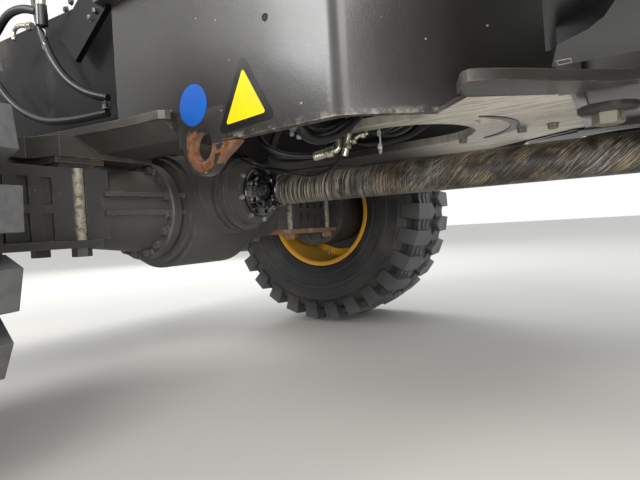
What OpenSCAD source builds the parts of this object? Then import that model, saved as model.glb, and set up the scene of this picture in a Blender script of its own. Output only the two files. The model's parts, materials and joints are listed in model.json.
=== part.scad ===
// Undercarriage of a wheeled excavator: welded frame, slew ring, two driven axles, wheels and blade.
// Millimetres. X points to the front (the steered axle), Y to the left, Z up from the ground.
// The origin is on the ground below the middle of the whole length.

/* [Layout] */
// Distance between the two axles
wheelbase = 2600; // [2560:10:2800]
// Distance from the rear axle forward to the slew centre
slew_ahead = 860; // [840:5:900]
// Distance between the middle planes of the wheels on one axle
track = 2080; // [2070:5:2120]

/* [Wheels] */
// Diameter over the lugs
tyre_od = 1060; // [1050:5:1090]
// Width over the sidewalls
tyre_width = 450; // [440:2:460]
// Width over the lugs
tread_width = 416; // [400:2:424]
// Height of the lugs above the base of the tread
lug_depth = 30; // [22:1:34]
// Lugs on each half of the tread
lug_count = 27; // [25:1:29]
// Radius of the rim's bead seat
rim_r = 248; // [244:1:250]
// Width over the rim's lips
rim_width = 386; // [376:2:392]
// Height of the rim's lip above the bead seat
lip_height = 15; // [12:1:18]
// Wall of the rim's barrel
rim_wall = 8; // [7:1:10]
// Thickness of the wheel disc
disc_t = 16; // [14:1:18]
// Distance from the wheel's middle plane out to the disc's inner face
disc_out = 60; // [50:2:76]
// Radius of the circle of wheel studs
stud_circle_r = 167.5; // [162:0.5:172]
// Wheel studs in a wheel
stud_count = 10; // [8:1:12]
// Radius of the final drive's outer drum
drum_r = 138; // [130:1:140]
// Radius of the fixed brake housing
brake_r = 190; // [180:2:200]

/* [Frame] */
// Height of the belly, where the arms' lower flanges lie, above the axle's middle
belly_rise = 120; // [116:1:126]
// Height of the centre box
box_height = 400; // [380:5:420]
// Thickness of the centre box's walls
wall_t = 20; // [16:1:24]
// Thickness of the belly plate and the top plate
deck_t = 22; // [18:1:26]
// Half width of the centre box at its widest bend
box_half = 482; // [476:1:488]
// Half width of the centre box at its rear end
box_rear_half = 416; // [410:1:420]
// How far the box's walls hang below the reference height of the belly
wall_hang = 12; // [8:1:16]
// Height of the belly plate's underside above the same reference
belly_lift = 20; // [17:1:22]
// Half width of the front arm
arm_half = 230; // [215:5:240]
// Distance from the slew centre back to the rear end of the centre box
box_back = 660; // [650:5:665]
// Distance from the slew centre back to the widest bend
bend_back = 24; // [10:2:40]
// Angle of the front faces of the centre box
face_angle = 35; // [33:0.5:37]
// Radius of the rear end of the belly opening
belly_hole_r = 235; // [228:1:240]
// Radius of the front end of the belly opening
belly_front_r = 170; // [160:2:176]
// Distance from the slew centre back to the middle of the opening's rear end
belly_hole_back = 375; // [370:1:380]
// Distance between the middles of the opening's two ends
belly_hole_length = 300; // [290:5:305]
// Width of the bar that parts off the opening's right side
belly_bar = 45; // [36:1:50]
// Thickness of the arms' flanges
flange_t = 25; // [20:1:28]

/* [Slew ring] */
// Outer radius of the turning race
slew_outer_r = 545; // [540:1:552]
// Height of the slew ring
slew_h = 82; // [76:1:88]
// Radius of the upper bolt circle
slew_bolt_r = 515; // [512:1:518]
// Bolts in the upper circle
slew_bolt_count = 30; // [24:2:36]
// Radius of a bolt hole in the race
slew_bolt_hole_r = 11; // [10:0.5:12]
// Teeth of the inner gear
gear_teeth = 88; // [84:2:92]
// Module of the inner gear
gear_module = 10; // [9.8:0.1:10.2]

/* [Axles] */
// Height of the pinion and the propeller shaft above the axle's middle
pinion_rise = 40; // [34:1:46]
// Half height of the rear axle's clamped section
beam_half_h = 90; // [84:1:94]
// Half width of the rear axle's clamped section, front to back
beam_half_w = 95; // [90:1:98]
// Distance from the centre out to the inner row of clamp studs
stud_in = 464; // [456:2:470]
// Distance from the centre out to the outer row of clamp studs
stud_out = 766; // [760:2:774]
// Radius of a clamp stud
clamp_stud_r = 14; // [12:0.5:15]
// Radius of the propeller shaft's tube
shaft_r = 44; // [40:1:46]
// Distance from a wheel's middle plane in to its steering pivot
kingpin_in = 270; // [264:2:276]
// Length of the steering arms
steer_arm = 215; // [210:1:222]
// Radius of the front axle's rear trunnion
trunnion_r = 100; // [96:1:104]

/* [Blade] */
// Length of the blade's lifting links between pins
link_len = 420; // [410:2:430]
// Angle of the links above level, as parked
link_angle = 29; // [27:0.5:30]
// Width of the blade
blade_w = 2450; // [2300:10:2500]
// Height of the blade
blade_h = 540; // [520:5:560]
// Gap under the blade, as parked
blade_gap = 432; // [428:1:450]
// Radius of the link pins
link_pin_r = 22; // [20:1:24]

/* [Hidden] */
$fn = 48;

// Clearance between pieces that seat on each other
seat = 0.3;
// Radial clearance of a running fit
run = 0.05;

// Stations along X
link_pivot_back = 640;
edge_back = 170;
blade_pin_back = link_pivot_back + link_len * cos(link_angle);
blade_reach = blade_pin_back + edge_back;
tyre_r = tyre_od / 2;
total_length = blade_reach + wheelbase + tyre_r;
rear_x = blade_reach - total_length / 2;
front_x = rear_x + wheelbase;
slew_x = rear_x + slew_ahead;

// Heights
axle_z = tyre_r;
shaft_z = axle_z + pinion_rise;
belly_z = axle_z + belly_rise;
top_z = belly_z + box_height;
beam_top_z = axle_z + beam_half_h + 12;
beam_low_z = beam_top_z - 2 * beam_half_h;
flange_z = belly_z + 70;
ring_z = top_z + 60;
wheel_y = track / 2;
kingpin_y = wheel_y - kingpin_in;

// Outline of the centre box's left half, from the rear end to the front arm
face_len = (box_half - arm_half - 20) / tan(face_angle);
box_front = face_len - bend_back;
bend_r = 60;

function arc(cx, cy, r, a0, a1, n) =
    [for (i = [0:n]) [cx + r * cos(a0 + (a1 - a0) * i / n), cy + r * sin(a0 + (a1 - a0) * i / n)]];
function mirrored(pts) = [for (i = [len(pts) - 1:-1:0]) [pts[i][0], -pts[i][1]]];
// Centre box in plan, drawn in by the given distance
function box_half_outline(inset) = concat(
    [[-box_back + inset, box_rear_half - inset]],
    arc(-bend_back, box_half - inset - bend_r, bend_r, 96, 90 - face_angle, 5),
    [[box_front - inset * tan(face_angle / 2), arm_half + 20 - inset]],
    [[box_front + 40 - inset, arm_half + 20 - inset]]);
function box_outline(inset) = concat(box_half_outline(inset), mirrored(box_half_outline(inset)));

module both_sides() {
    children();
    mirror([0, 1, 0]) children();
}

// Cylinder along X, from x0 to x1
module rod_x(x0, x1, r, r_end = undef) {
    translate([x0, 0, 0]) rotate([0, 90, 0])
        cylinder(h = x1 - x0, r1 = r, r2 = is_undef(r_end) ? r : r_end);
}

// Cylinder along Y, from y0 to y1
module rod_y(y0, y1, r, r_end = undef) {
    translate([0, y0, 0]) rotate([-90, 0, 0])
        cylinder(h = y1 - y0, r1 = r, r2 = is_undef(r_end) ? r : r_end);
}

// Outline in X and Z, made thick along Y from y0 to y1
module slab_y(y0, y1) {
    translate([0, y1, 0]) rotate([90, 0, 0]) linear_extrude(y1 - y0) children();
}

// Outline in Y and Z, made thick along X from x0 to x1
module slab_x(x0, x1) {
    translate([x0, 0, 0]) rotate([90, 0, 90]) linear_extrude(x1 - x0) children();
}

// Frame

// Angle of the side walls, and how far out a wall's face is at a distance ahead of the rear axle
side_angle = atan2(box_half - 0.3 - box_rear_half, box_back - bend_back - 6);
function wall_face(ahead) = box_rear_half + (ahead - slew_ahead + box_back) * tan(side_angle);

// Places a child drawn in X and Z on the side walls at a lashing eye
module at_eyes() {
    both_sides() translate([rear_x + eye_ahead, wall_face(eye_ahead), belly_z - eye_drop])
        rotate(side_angle) children();
}

module centre_box() {
    color("#4a4844") difference() {
        translate([slew_x, 0, belly_z - wall_hang]) difference() {
            linear_extrude(box_height - deck_t + wall_hang) polygon(box_outline(0));
            translate([0, 0, -1]) linear_extrude(box_height + wall_hang) polygon(box_outline(wall_t));
            translate([box_front, -arm_half, -1]) cube([60, 2 * arm_half, wall_hang + 1]);
        }
        translate([rear_x, 0, shaft_z]) rod_x(slew_ahead - box_back - 1, slew_ahead - box_back + wall_t + 1, 140);
        at_eyes() slab_y(-2 * wall_t, wall_t) translate([-eye_half_w - seat, -eye_top])
            square([2 * (eye_half_w + seat), 2 * eye_top + seat]);
    }
}

// Opening in the belly plate, drawn about the slew centre, with a lobe at the right side for the hoses
module belly_hole() {
    rear_mid = -belly_hole_back;
    front_mid = rear_mid + belly_hole_length;
    bar_y = -belly_front_r + 10;
    lobe_end = -box_rear_half + 20;
    translate([rear_mid, 0]) circle(r = belly_hole_r);
    translate([front_mid, 10]) circle(r = belly_front_r);
    polygon([[rear_mid, belly_hole_r], [front_mid, belly_front_r + 10], [front_mid, bar_y], [rear_mid, bar_y]]);
    polygon([[rear_mid - 150, 0], [rear_mid - 150, lobe_end + 60], [rear_mid - 90, lobe_end],
        [front_mid + 50, lobe_end], [front_mid + 110, lobe_end + 60], [front_mid + 130, bar_y - belly_bar],
        [rear_mid + 175, bar_y - belly_bar], [rear_mid + 165, bar_y], [rear_mid + 165, 0]]);
    translate([-box_back, -100]) square([100, 200]);
}

module belly_plate() {
    slot = [40, 55];
    color("#56524b") translate([slew_x, 0, belly_z + belly_lift]) linear_extrude(deck_t) difference() {
        polygon(box_outline(wall_t));
        belly_hole();
        translate([123, -slot[1] - 30]) square(slot);
    }
}

module top_plate() {
    well_r = gear_module * gear_teeth / 2 - 20;
    tower_r = slew_outer_r - 10;
    color("#4a4844") translate([slew_x, 0, top_z - deck_t]) difference() {
        union() {
            linear_extrude(deck_t) union() {
                polygon(box_outline(-30));
                circle(r = tower_r + 20, $fn = 96);
            }
            translate([0, 0, deck_t]) difference() {
                cylinder(h = ring_z - top_z, r = tower_r, $fn = 96);
                translate([0, 0, -1]) cylinder(h = ring_z - top_z + 2, r = well_r, $fn = 96);
            }
        }
        translate([0, 0, -1]) cylinder(h = deck_t + 2, r = well_r, $fn = 96);
    }
}

// Side arms that carry the rear axle, with the saddles for its clamps
arm_rear_end = 620;
module rear_arms() {
    front_end = slew_ahead - box_back;
    flange_front = 433;
    web_out = 375;
    web_in = 250;
    // Behind the box the web curves in from the walls' line
    step = box_rear_half - wall_t - web_out;
    curve_end = front_end - 160;
    sweep_r = (pow(front_end - curve_end, 2) + pow(step, 2)) / (2 * step);
    web_plan = concat(arc(curve_end, web_out + sweep_r, sweep_r, -90 + 2 * atan(step / (front_end - curve_end)), -90, 4),
        [[-arm_rear_end, web_out], [-arm_rear_end, web_in], [front_end, web_in]]);
    web_top = top_z + 40;
    web_side = [[front_end, flange_z + flange_t], [-arm_rear_end, flange_z + flange_t],
        [-arm_rear_end, top_z - 60], [-arm_rear_end + 220, web_top], [front_end - 50, web_top],
        [front_end - 35, top_z - deck_t - 1], [front_end, top_z - deck_t - 1]];
    pad = [220, 130];
    pad_step = 15;
    color("#403e3b") translate([rear_x, 0, 0]) {
        both_sides() {
            intersection() {
                linear_extrude(web_top) polygon(web_plan);
                slab_y(0, 600) polygon(web_side);
            }
            translate([0, 0, flange_z]) linear_extrude(flange_t)
                polygon([[flange_front, wall_face(flange_front) + seat], [flange_front, box_rear_half + 56],
                    [-arm_rear_end, box_rear_half + 58], [-arm_rear_end, web_in - 12], [front_end, web_in - 12],
                    [front_end, box_rear_half + seat]]);
            for (y = [stud_in, stud_out - 18])
                for (s = [[0, 42], [pad_step, 0]])
                    translate([s[0] - pad[0] / 2, y + s[0] - pad[1] / 2, beam_top_z + s[1]])
                        cube([pad[0] - 2 * s[0], pad[1] - 2 * s[0], flange_z - beam_top_z - s[1] + 1]);
            translate([-pad[0] / 2 - 15, web_in, flange_z - 40])
                cube([pad[0] + 30, stud_out + 46 - web_in, 40 + flange_t]);
        }
        translate([-arm_rear_end, -web_in - 1, flange_z + flange_t]) cube([60, 2 * web_in + 2, 180]);
    }
}

// Front arm: a box girder that arches over the front axle, with the two trunnion bearings
trunnion_rear = 360;
trunnion_front = 300;
module front_arm() {
    start = slew_ahead + box_front + 40;
    bearing = 60;
    arch = axle_z + 290;
    arm_side = [[start, belly_z + flange_t], [wheelbase - 560, belly_z + flange_t],
        [wheelbase - 430, arch], [wheelbase + 380, arch], [wheelbase + 380, top_z - 60],
        [wheelbase - 500, top_z - 40], [start, top_z - deck_t]];
    flange_plan = [[start, arm_half + 150], [start + 260, arm_half + 150], [start + 520, arm_half + 40],
        [wheelbase - 560, arm_half + 40], [wheelbase - 560, 0], [start, 0]];
    color("#4a4844") translate([rear_x, 0, 0]) difference() {
        union() {
            slab_y(-arm_half, arm_half) polygon(arm_side);
            both_sides() translate([0, 0, belly_z]) linear_extrude(flange_t) polygon(flange_plan);
            for (b = [[-trunnion_rear, 150], [trunnion_front, 110]]) {
                translate([wheelbase + b[0], 0, shaft_z]) rod_x(0, bearing, b[1]);
                translate([wheelbase + b[0], -b[1], shaft_z]) cube([bearing, 2 * b[1], arch - shaft_z + 1]);
            }
        }
        translate([wheelbase - trunnion_rear - 1, 0, shaft_z]) rod_x(0, bearing + 2, trunnion_r + run);
        translate([wheelbase + trunnion_front - 1, 0, shaft_z]) rod_x(0, bearing + 2, 45 + run);
    }
}

// Lashing eyes, let into the side walls
eye_hole_r = 32;
eye_t = 22;
eye_ahead = 500;
eye_drop = 15;
// How far the plate stands out from the wall's face
eye_proud = 2.3;
// Half width of the plate where it is let into the wall, and its top above the hole's middle
eye_half_w = 62;
eye_top = 64;
module lashing_eyes() {
    edge = eye_drop - wall_hang - seat;
    color("#6a4a38") at_eyes() slab_y(eye_proud - eye_t, eye_proud) difference() {
        union() {
            circle(r = eye_half_w);
            translate([-eye_half_w, 0]) square([2 * eye_half_w, eye_top]);
            polygon([[44, -42], [eye_half_w + 8, -16], [eye_half_w + 50, edge], [0, edge]]);
        }
        circle(r = eye_hole_r);
    }
}

// Slew ring

pitch_r = gear_module * gear_teeth / 2;
race_gap = 0.8;
race_r = 487;

// Inner gear outline with straight-sided teeth; columns are the flank's angle in pitches and its radius
tooth_form = [[-0.38, 1.2], [-0.14, -1], [0.14, -1], [0.38, 1.2]];
function gear_outline() = [for (i = [0:gear_teeth - 1]) for (t = tooth_form)
    let (a = 360 / gear_teeth * (i + t[0]), r = pitch_r + t[1] * gear_module)
    [r * cos(a), r * sin(a)]];

module slew_ring_inner() {
    color("#8a8a86") translate([slew_x, 0, ring_z]) difference() {
        cylinder(h = slew_h - 12, r = race_r, $fn = 96);
        translate([0, 0, -1]) linear_extrude(slew_h) polygon(gear_outline());
    }
}

module slew_ring_outer() {
    color("#77776f") translate([slew_x, 0, ring_z + 12]) difference() {
        cylinder(h = slew_h - 12, r = slew_outer_r, $fn = 96);
        translate([0, 0, -1]) cylinder(h = slew_h, r = race_r + race_gap, $fn = 96);
        for (i = [0:slew_bolt_count - 1]) rotate(360 / slew_bolt_count * i)
            translate([slew_bolt_r, 0, -1]) cylinder(h = slew_h, r = slew_bolt_hole_r, $fn = 24);
    }
}

swivel_r = 105;
swivel_low = 190;
hose_clamp_back = 230;
module centre_swivel() {
    color("#2c2c2c") translate([slew_x, 0, belly_z + swivel_low]) {
        cylinder(h = 150, r = swivel_r);
        for (z = [20, 70, 120]) translate([0, 0, z]) cylinder(h = 26, r = swivel_r + 12);
        intersection() {
            translate([-hose_clamp_back - 25, -box_half, 0]) cube([50, 2 * box_half, 30]);
            linear_extrude(30) polygon(box_outline(wall_t));
        }
        translate([-hose_clamp_back, -24, 4]) cube([hose_clamp_back, 48, 22]);
    }
}

// Hoses from the swivel's ports, looping down to the clamp bar; columns are the place across and the radius
hose_table = [[-66, 19], [-20, 22], [28, 17], [68, 21]];
module swivel_hoses() {
    drop = 16;
    port_back = 50;
    bend = (hose_clamp_back - port_back) / 2;
    color("#161616") translate([slew_x - port_back - bend, 0, belly_z + swivel_low - drop])
        for (h = hose_table) translate([0, h[0], 0]) {
            for (x = [-bend, bend]) translate([x, 0, 0]) cylinder(h = drop, r = h[1], $fn = 24);
            rotate([-90, 0, 0]) rotate_extrude(angle = 180, $fn = 48)
                translate([bend, 0]) circle(r = h[1], $fn = 24);
        }
}

// Rear axle

spindle_r = 60;
spindle_out = 40;
module rear_axle_housing() {
    centre_r = 178;
    centre_half = 135;
    joint_r = 158;
    nose = 300;
    neck = 400;
    end_y = stud_out + 49;
    // Grooves between the cast ribs, in two rows, and the two level fins of the trumpet
    rib_h = beam_half_h - 24;
    fin_in = joint_r - 12;
    fin_out = 112;
    color("#3c3b39") translate([rear_x, 0, axle_z]) {
        rod_y(-centre_half, centre_half, centre_r);
        both_sides() {
            rod_y(centre_half - 22, centre_half + 22, joint_r + 8);
            rod_y(centre_half, neck, joint_r - 26, 100);
            difference() {
                translate([-beam_half_w, neck - 20, beam_low_z - axle_z])
                    cube([2 * beam_half_w, end_y - neck + 20, 2 * beam_half_h]);
                for (x = [-1, 1], y = [stud_in, stud_out])
                    translate([x * (beam_half_w - 4), y, -200]) cylinder(h = 400, r = clamp_stud_r + 3);
                for (x = [-1, 1], y = [stud_in + 70:56:stud_out - 60], row = [-rib_h - 10, 10])
                    translate([x * beam_half_w - 9, y, row]) cube([18, 26, rib_h]);
            }
            for (z = [-10, pinion_rise]) translate([0, 0, z - 6]) linear_extrude(12)
                polygon([[-fin_in, centre_half], [-fin_out, neck], [fin_out, neck], [fin_in, centre_half]]);
            rod_y(end_y, wheel_y - 68, brake_r);
            rod_y(wheel_y - 69, wheel_y + spindle_out, spindle_r);
        }
        translate([0, 0, pinion_rise]) {
            rod_x(0, nose - 90, 150, 118);
            rod_x(nose - 90, nose, 104, 92);
            for (x = [nose - 82, nose - 54]) rod_x(x, x + 12, 112);
        }
    }
}

module rear_axle_clamps() {
    plate_t = 19;
    inner = stud_in - 45;
    outer = stud_out + 49;
    color("#8d8a83") translate([rear_x, 0, beam_low_z]) both_sides() {
        translate([-beam_half_w - 20, inner, -plate_t])
            cube([2 * beam_half_w + 40, outer - inner, plate_t]);
        for (x = [-1, 1], y = [stud_in, stud_out]) translate([x * (beam_half_w - 4), y, 0]) {
            translate([0, 0, -plate_t]) cylinder(h = plate_t + 2 * beam_half_h, r = clamp_stud_r);
            translate([0, 0, -plate_t - 22]) cylinder(h = 22, r = 24, $fn = 6);
        }
    }
}

module transfer_gearbox() {
    case_side = concat([[-178, -60], [-178, 120]], arc(-230, 330, 110, 20, 160, 6), [[-345, -60]]);
    color("#383735") translate([rear_x, 0, axle_z]) difference() {
        slab_y(-105, 105) polygon(case_side);
        rod_y(-200, 200, 178 + seat);
    }
}

module travel_motor() {
    color("#2e2e2e") translate([rear_x - 235, 0, axle_z + 335]) {
        rod_y(105, 150, 92);
        rod_y(150, 235, 78);
    }
}

// Boxes at the sides

box_start = slew_ahead + 310;
box_len = 600;
// Room between the front arm and a side box
box_gap = 250;
module toolbox() {
    size = [box_len, 420, 400];
    corner = 90;
    outline = concat(arc(size[1] - corner, corner, corner, -90, 0, 4),
        [[size[1], size[2] - 90], [size[1] - 60, size[2]], [0, size[2]], [0, 0]]);
    difference() {
        slab_x(0, size[0]) polygon(outline);
        translate([24, size[1] - 14, 50]) cube([110, 30, 44]);
    }
}

module toolbox_right() {
    color("#191919") translate([rear_x + box_start, 0, belly_z + 30])
        mirror([0, 1, 0]) translate([0, arm_half + box_gap, 0]) toolbox();
}

module toolbox_left() {
    color("#191919") translate([rear_x + box_start, 0, belly_z + 30])
        translate([0, arm_half + box_gap, 0]) toolbox();
}

module toolbox_brackets() {
    color("#3a3a38") translate([rear_x + box_start, 0, belly_z]) both_sides()
        for (x = [box_len / 5, box_len - 170]) translate([x, arm_half, 120]) cube([60, box_gap, 60]);
}

// Front axle, hung from the front arm on two trunnions

lock_y = 330;
pad_top = 120;
steer_z = -62;
barrel_half = 200;
barrel_r = 46;
yoke_half = 135;
kingpin_r = 24;
module front_axle_housing() {
    centre_r = 165;
    centre_half = 125;
    yoke_in = kingpin_y - 96;
    color("#3c3b39") translate([front_x, 0, axle_z]) {
        rod_y(-centre_half, centre_half, centre_r);
        both_sides() {
            rod_y(centre_half - 20, centre_half + 20, 150);
            rod_y(centre_half, yoke_in, 110, 82);
            translate([-45, lock_y - 45, 0]) cube([90, 90, pad_top]);
            for (z = [-yoke_half, yoke_half - 34]) translate([0, 0, z]) difference() {
                union() {
                    translate([-55, yoke_in - 40, 0]) cube([110, kingpin_y - yoke_in + 40, 34]);
                    translate([0, kingpin_y, 0]) cylinder(h = 34, r = 55);
                }
                translate([0, kingpin_y, -1]) cylinder(h = 36, r = kingpin_r + run);
            }
            translate([-55, yoke_in - 40, -yoke_half]) cube([110, 40, 2 * yoke_half]);
        }
        translate([0, 0, pinion_rise]) {
            rod_x(-trunnion_rear + 60 + 5, 0, 118, 140);
            rod_x(-trunnion_rear - 12, -trunnion_rear + 70, trunnion_r);
            rod_x(0, 150, 120, 92);
            rod_x(149, trunnion_front - 5, 50);
            rod_x(trunnion_front - 6, trunnion_front + 72, 45);
        }
        both_sides() difference() {
            translate([60, barrel_half - 60, steer_z - 25]) cube([steer_arm - 60, 40, 50]);
            translate([steer_arm, 0, steer_z]) rod_y(-barrel_half, barrel_half, barrel_r + seat);
        }
    }
}

steer_rod_r = 25;
module steering_cylinder() {
    color("#2b2b2a") translate([front_x + steer_arm, 0, axle_z + steer_z]) difference() {
        union() {
            rod_y(-barrel_half, barrel_half, barrel_r);
            for (y = [-barrel_half, barrel_half - 16]) translate([0, y, 0]) rod_y(0, 16, 52);
        }
        rod_y(-barrel_half - 1, barrel_half + 1, steer_rod_r + run);
    }
}

eye_half = 18;
module steering_rod() {
    eye_r = 30;
    color("#a8a8a4") translate([front_x + steer_arm, 0, axle_z + steer_z]) {
        rod_y(-kingpin_y + eye_r - 6, kingpin_y - eye_r + 6, steer_rod_r);
        both_sides() translate([0, kingpin_y, -eye_half]) cylinder(h = 2 * eye_half, r = eye_r);
    }
}

module knuckle(side) {
    arm_t = 26;
    brake_back = 62;
    color("#353433") translate([front_x, 0, axle_z]) mirror([0, side < 0 ? 1 : 0, 0]) {
        translate([0, kingpin_y, -96]) cylinder(h = 192, r = 52);
        translate([0, kingpin_y, -yoke_half]) cylinder(h = 2 * yoke_half, r = kingpin_r);
        rod_y(kingpin_y, kingpin_y + brake_back + 2, 84);
        rod_y(kingpin_y + brake_back, wheel_y - 68, brake_r - 20);
        rod_y(wheel_y - 69, wheel_y + spindle_out, spindle_r);
        translate([0, kingpin_y, steer_z + steer_rod_r + 5]) {
            translate([0, -34, 0]) cube([steer_arm, 68, arm_t]);
            translate([steer_arm, 0, 0]) cylinder(h = arm_t, r = 34);
        }
    }
}
module knuckle_left() { knuckle(1); }
module knuckle_right() { knuckle(-1); }

// Oscillation locks: two upright cylinders on the front arm that press on the front axle
lock_r = 48;
plunger_r = 26;
lock_stroke = 60;
module lock_cylinders() {
    low = axle_z + pad_top + lock_stroke + 40;
    color("#2b2b2a") both_sides() translate([front_x, lock_y, 0]) difference() {
        union() {
            translate([0, 0, low]) cylinder(h = top_z - 80 - low, r = lock_r);
            translate([-70, arm_half - lock_y, axle_z + 330]) cube([140, 60, 130]);
        }
        translate([0, 0, low - 1]) cylinder(h = top_z - 110 - low, r = plunger_r + run);
    }
}

module lock_plunger(side) {
    color("#a8a8a4") translate([front_x, side * lock_y, axle_z + pad_top + 3]) {
        cylinder(h = 10, r1 = 8, r2 = plunger_r);
        translate([0, 0, 10]) cylinder(h = lock_stroke + 150, r = plunger_r);
    }
}
module lock_plunger_left() { lock_plunger(1); }
module lock_plunger_right() { lock_plunger(-1); }

// Propeller shaft, one turning piece with its two joints

rear_joint_x = 352;
front_joint_back = 430;
module propshaft_tube() {
    color("#191816") translate([rear_x, 0, shaft_z]) {
        rod_x(rear_joint_x + 45, wheelbase - front_joint_back - 260, shaft_r);
        rod_x(wheelbase - front_joint_back - 260, wheelbase - front_joint_back - 45, shaft_r + 8);
    }
}

module joint_pair(turn) {
    for (s = [-1, 1]) rotate([turn, 0, 0]) translate([0, s * 40 - 9, 0])
        slab_y(0, 18) polygon([[-14, -24], [-44, -34], [-44, 34], [-14, 24], [16, 20], [16, -20]]);
}

module propshaft_joints() {
    color("#121212") for (j = [[rear_joint_x, 1], [wheelbase - front_joint_back, -1]])
        translate([rear_x + j[0], 0, shaft_z]) mirror([j[1] < 0 ? 1 : 0, 0, 0]) {
            rod_x(-52, -40, 76);
            rod_x(40, 45, shaft_r + 6);
            for (a = [0, 90]) rotate([a, 0, 0]) rod_y(-50, 50, 15);
            joint_pair(0);
            rotate([90, 0, 0]) mirror([1, 0, 0]) joint_pair(0);
        }
}

// Wheels, drawn at the origin with their outer side to +Y

// Points of one lug's share of the tyre: angle in pitches from the lug's middle, radius, distance out
groove_half = 12;
lug_mid = 70;
function lug_points() =
    let (flat = 1 / cos(180 / lug_count), half = tyre_width / 2, tread_half = tread_width / 2,
        base_r = tyre_r - lug_depth, lip_r = rim_r + lip_height)
    [[-0.5, (rim_r + seat) * flat, rim_width / 2 - 14 - seat],
     [-0.5, (lip_r + 30) * flat, rim_width / 2 + 3],
     [-0.5, lip_r + 106, half],
     [-0.3, base_r - 62, half - 4], [0.3, base_r - 62, half - 4],
     [-0.28, tyre_r - 12, tread_half], [0.28, tyre_r - 12, tread_half],
     [-0.28, tyre_r, lug_mid], [0.28, tyre_r, lug_mid],
     [0, tyre_r, groove_half],
     [-0.32, base_r, lug_mid], [0.32, base_r, lug_mid],
     [0, base_r, groove_half - 4]];

// Faces of one share by the points above: sidewall, then the lug's outer face, walls and top, then the gap.
// From 13 on a number is a point of the next share.
share_faces = [[0, 13, 14, 1], [1, 14, 15, 2], [2, 15, 4, 3], [15, 16, 4],
    [3, 4, 6, 5], [3, 5, 7, 10], [4, 11, 8, 6], [5, 6, 8, 7], [7, 8, 9],
    [7, 9, 12, 10], [9, 8, 11, 12], [4, 16, 23, 11]];
// Faces between the two sides; 100 is added to the points of the other side
middle_faces = [[11, 23, 125], [123, 111, 12], [12, 111, 112, 10], [12, 11, 125, 123], [13, 0, 113], [100, 113, 0]];

module tyre() {
    pitch = 360 / lug_count;
    share = lug_points();
    side_size = lug_count * len(share);
    function number(i, k) = (i * len(share) + k % 100) % side_size + (k < 100 ? 0 : side_size);
    function place(p, i, side) =
        let (a = pitch * (i + p[0] + (side > 0 ? 0 : -0.5)) - 90) [p[1] * cos(a), side * p[2], p[1] * sin(a)];
    // A face as triangles from its first point, for the side given by turn
    function fan(f, i, turn, other) = [for (j = [1:len(f) - 2])
        [number(i, f[0] + other), number(i, f[j + (turn ? 1 : 0)] + other), number(i, f[j + (turn ? 0 : 1)] + other)]];
    color("#232322") polyhedron(
        points = [for (side = [1, -1], i = [0:lug_count - 1], p = share) place(p, i, side)],
        faces = [for (i = [0:lug_count - 1]) each concat(
            [for (f = share_faces) each fan(f, i, true, 0)],
            [for (f = share_faces) each fan(f, i, false, 100)],
            [for (f = middle_faces) each fan(f, i, true, 0)])]);
}

module rim() {
    half = rim_width / 2;
    inner = rim_r - rim_wall;
    barrel = [[inner, -half + 6], [rim_r + lip_height, -half], [rim_r + lip_height, -half + 8], [rim_r, -half + 14],
        [rim_r, half - 14], [rim_r + lip_height, half - 8], [rim_r + lip_height, half], [inner, half - 6]];
    hole_r = drum_r + 2.5;
    color("#d9a21c") rotate([-90, 0, 0]) {
        rotate_extrude($fn = 72) polygon(barrel);
        translate([0, 0, disc_out]) difference() {
            cylinder(h = disc_t, r = inner + 1, $fn = 72);
            translate([0, 0, -1]) cylinder(h = disc_t + 2, r = hole_r, $fn = 72);
            for (i = [0:stud_count - 1]) rotate(360 / stud_count * i)
                translate([stud_circle_r, 0, -1]) cylinder(h = disc_t + 2, r = 13, $fn = 24);
        }
    }
}

module hub() {
    flange_r = stud_circle_r + 24;
    color("#302f2d") rotate([-90, 0, 0]) {
        difference() {
            union() {
                translate([0, 0, -60]) cylinder(h = disc_out + 40, r = 150);
                translate([0, 0, disc_out - 24]) cylinder(h = 24, r = flange_r);
            }
            translate([0, 0, -61]) cylinder(h = 62 + spindle_out, r = spindle_r + run);
        }
        translate([0, 0, disc_out - 1]) cylinder(h = 130, r = drum_r);
        translate([0, 0, disc_out + 128]) cylinder(h = 14, r1 = drum_r - 10, r2 = drum_r - 30);
        for (i = [0:stud_count - 1]) rotate(360 / stud_count * i) translate([stud_circle_r, 0, disc_out - 2]) {
            cylinder(h = disc_t + 30, r = 10, $fn = 16);
            translate([0, 0, disc_t + 2]) cylinder(h = 18, r = 17, $fn = 6);
        }
    }
}

module at_wheel(x, side) {
    translate([x, side * wheel_y, axle_z]) mirror([0, side < 0 ? 1 : 0, 0]) children();
}

module tyre_rear_left() { at_wheel(rear_x, 1) tyre(); }
module tyre_rear_right() { at_wheel(rear_x, -1) tyre(); }
module tyre_front_left() { at_wheel(front_x, 1) tyre(); }
module tyre_front_right() { at_wheel(front_x, -1) tyre(); }
module rim_rear_left() { at_wheel(rear_x, 1) rim(); }
module rim_rear_right() { at_wheel(rear_x, -1) rim(); }
module rim_front_left() { at_wheel(front_x, 1) rim(); }
module rim_front_right() { at_wheel(front_x, -1) rim(); }
module hub_rear_left() { at_wheel(rear_x, 1) hub(); }
module hub_rear_right() { at_wheel(rear_x, -1) hub(); }
module hub_front_left() { at_wheel(front_x, 1) hub(); }
module hub_front_right() { at_wheel(front_x, -1) hub(); }

// Blade behind the rear axle, on two pairs of links

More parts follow.
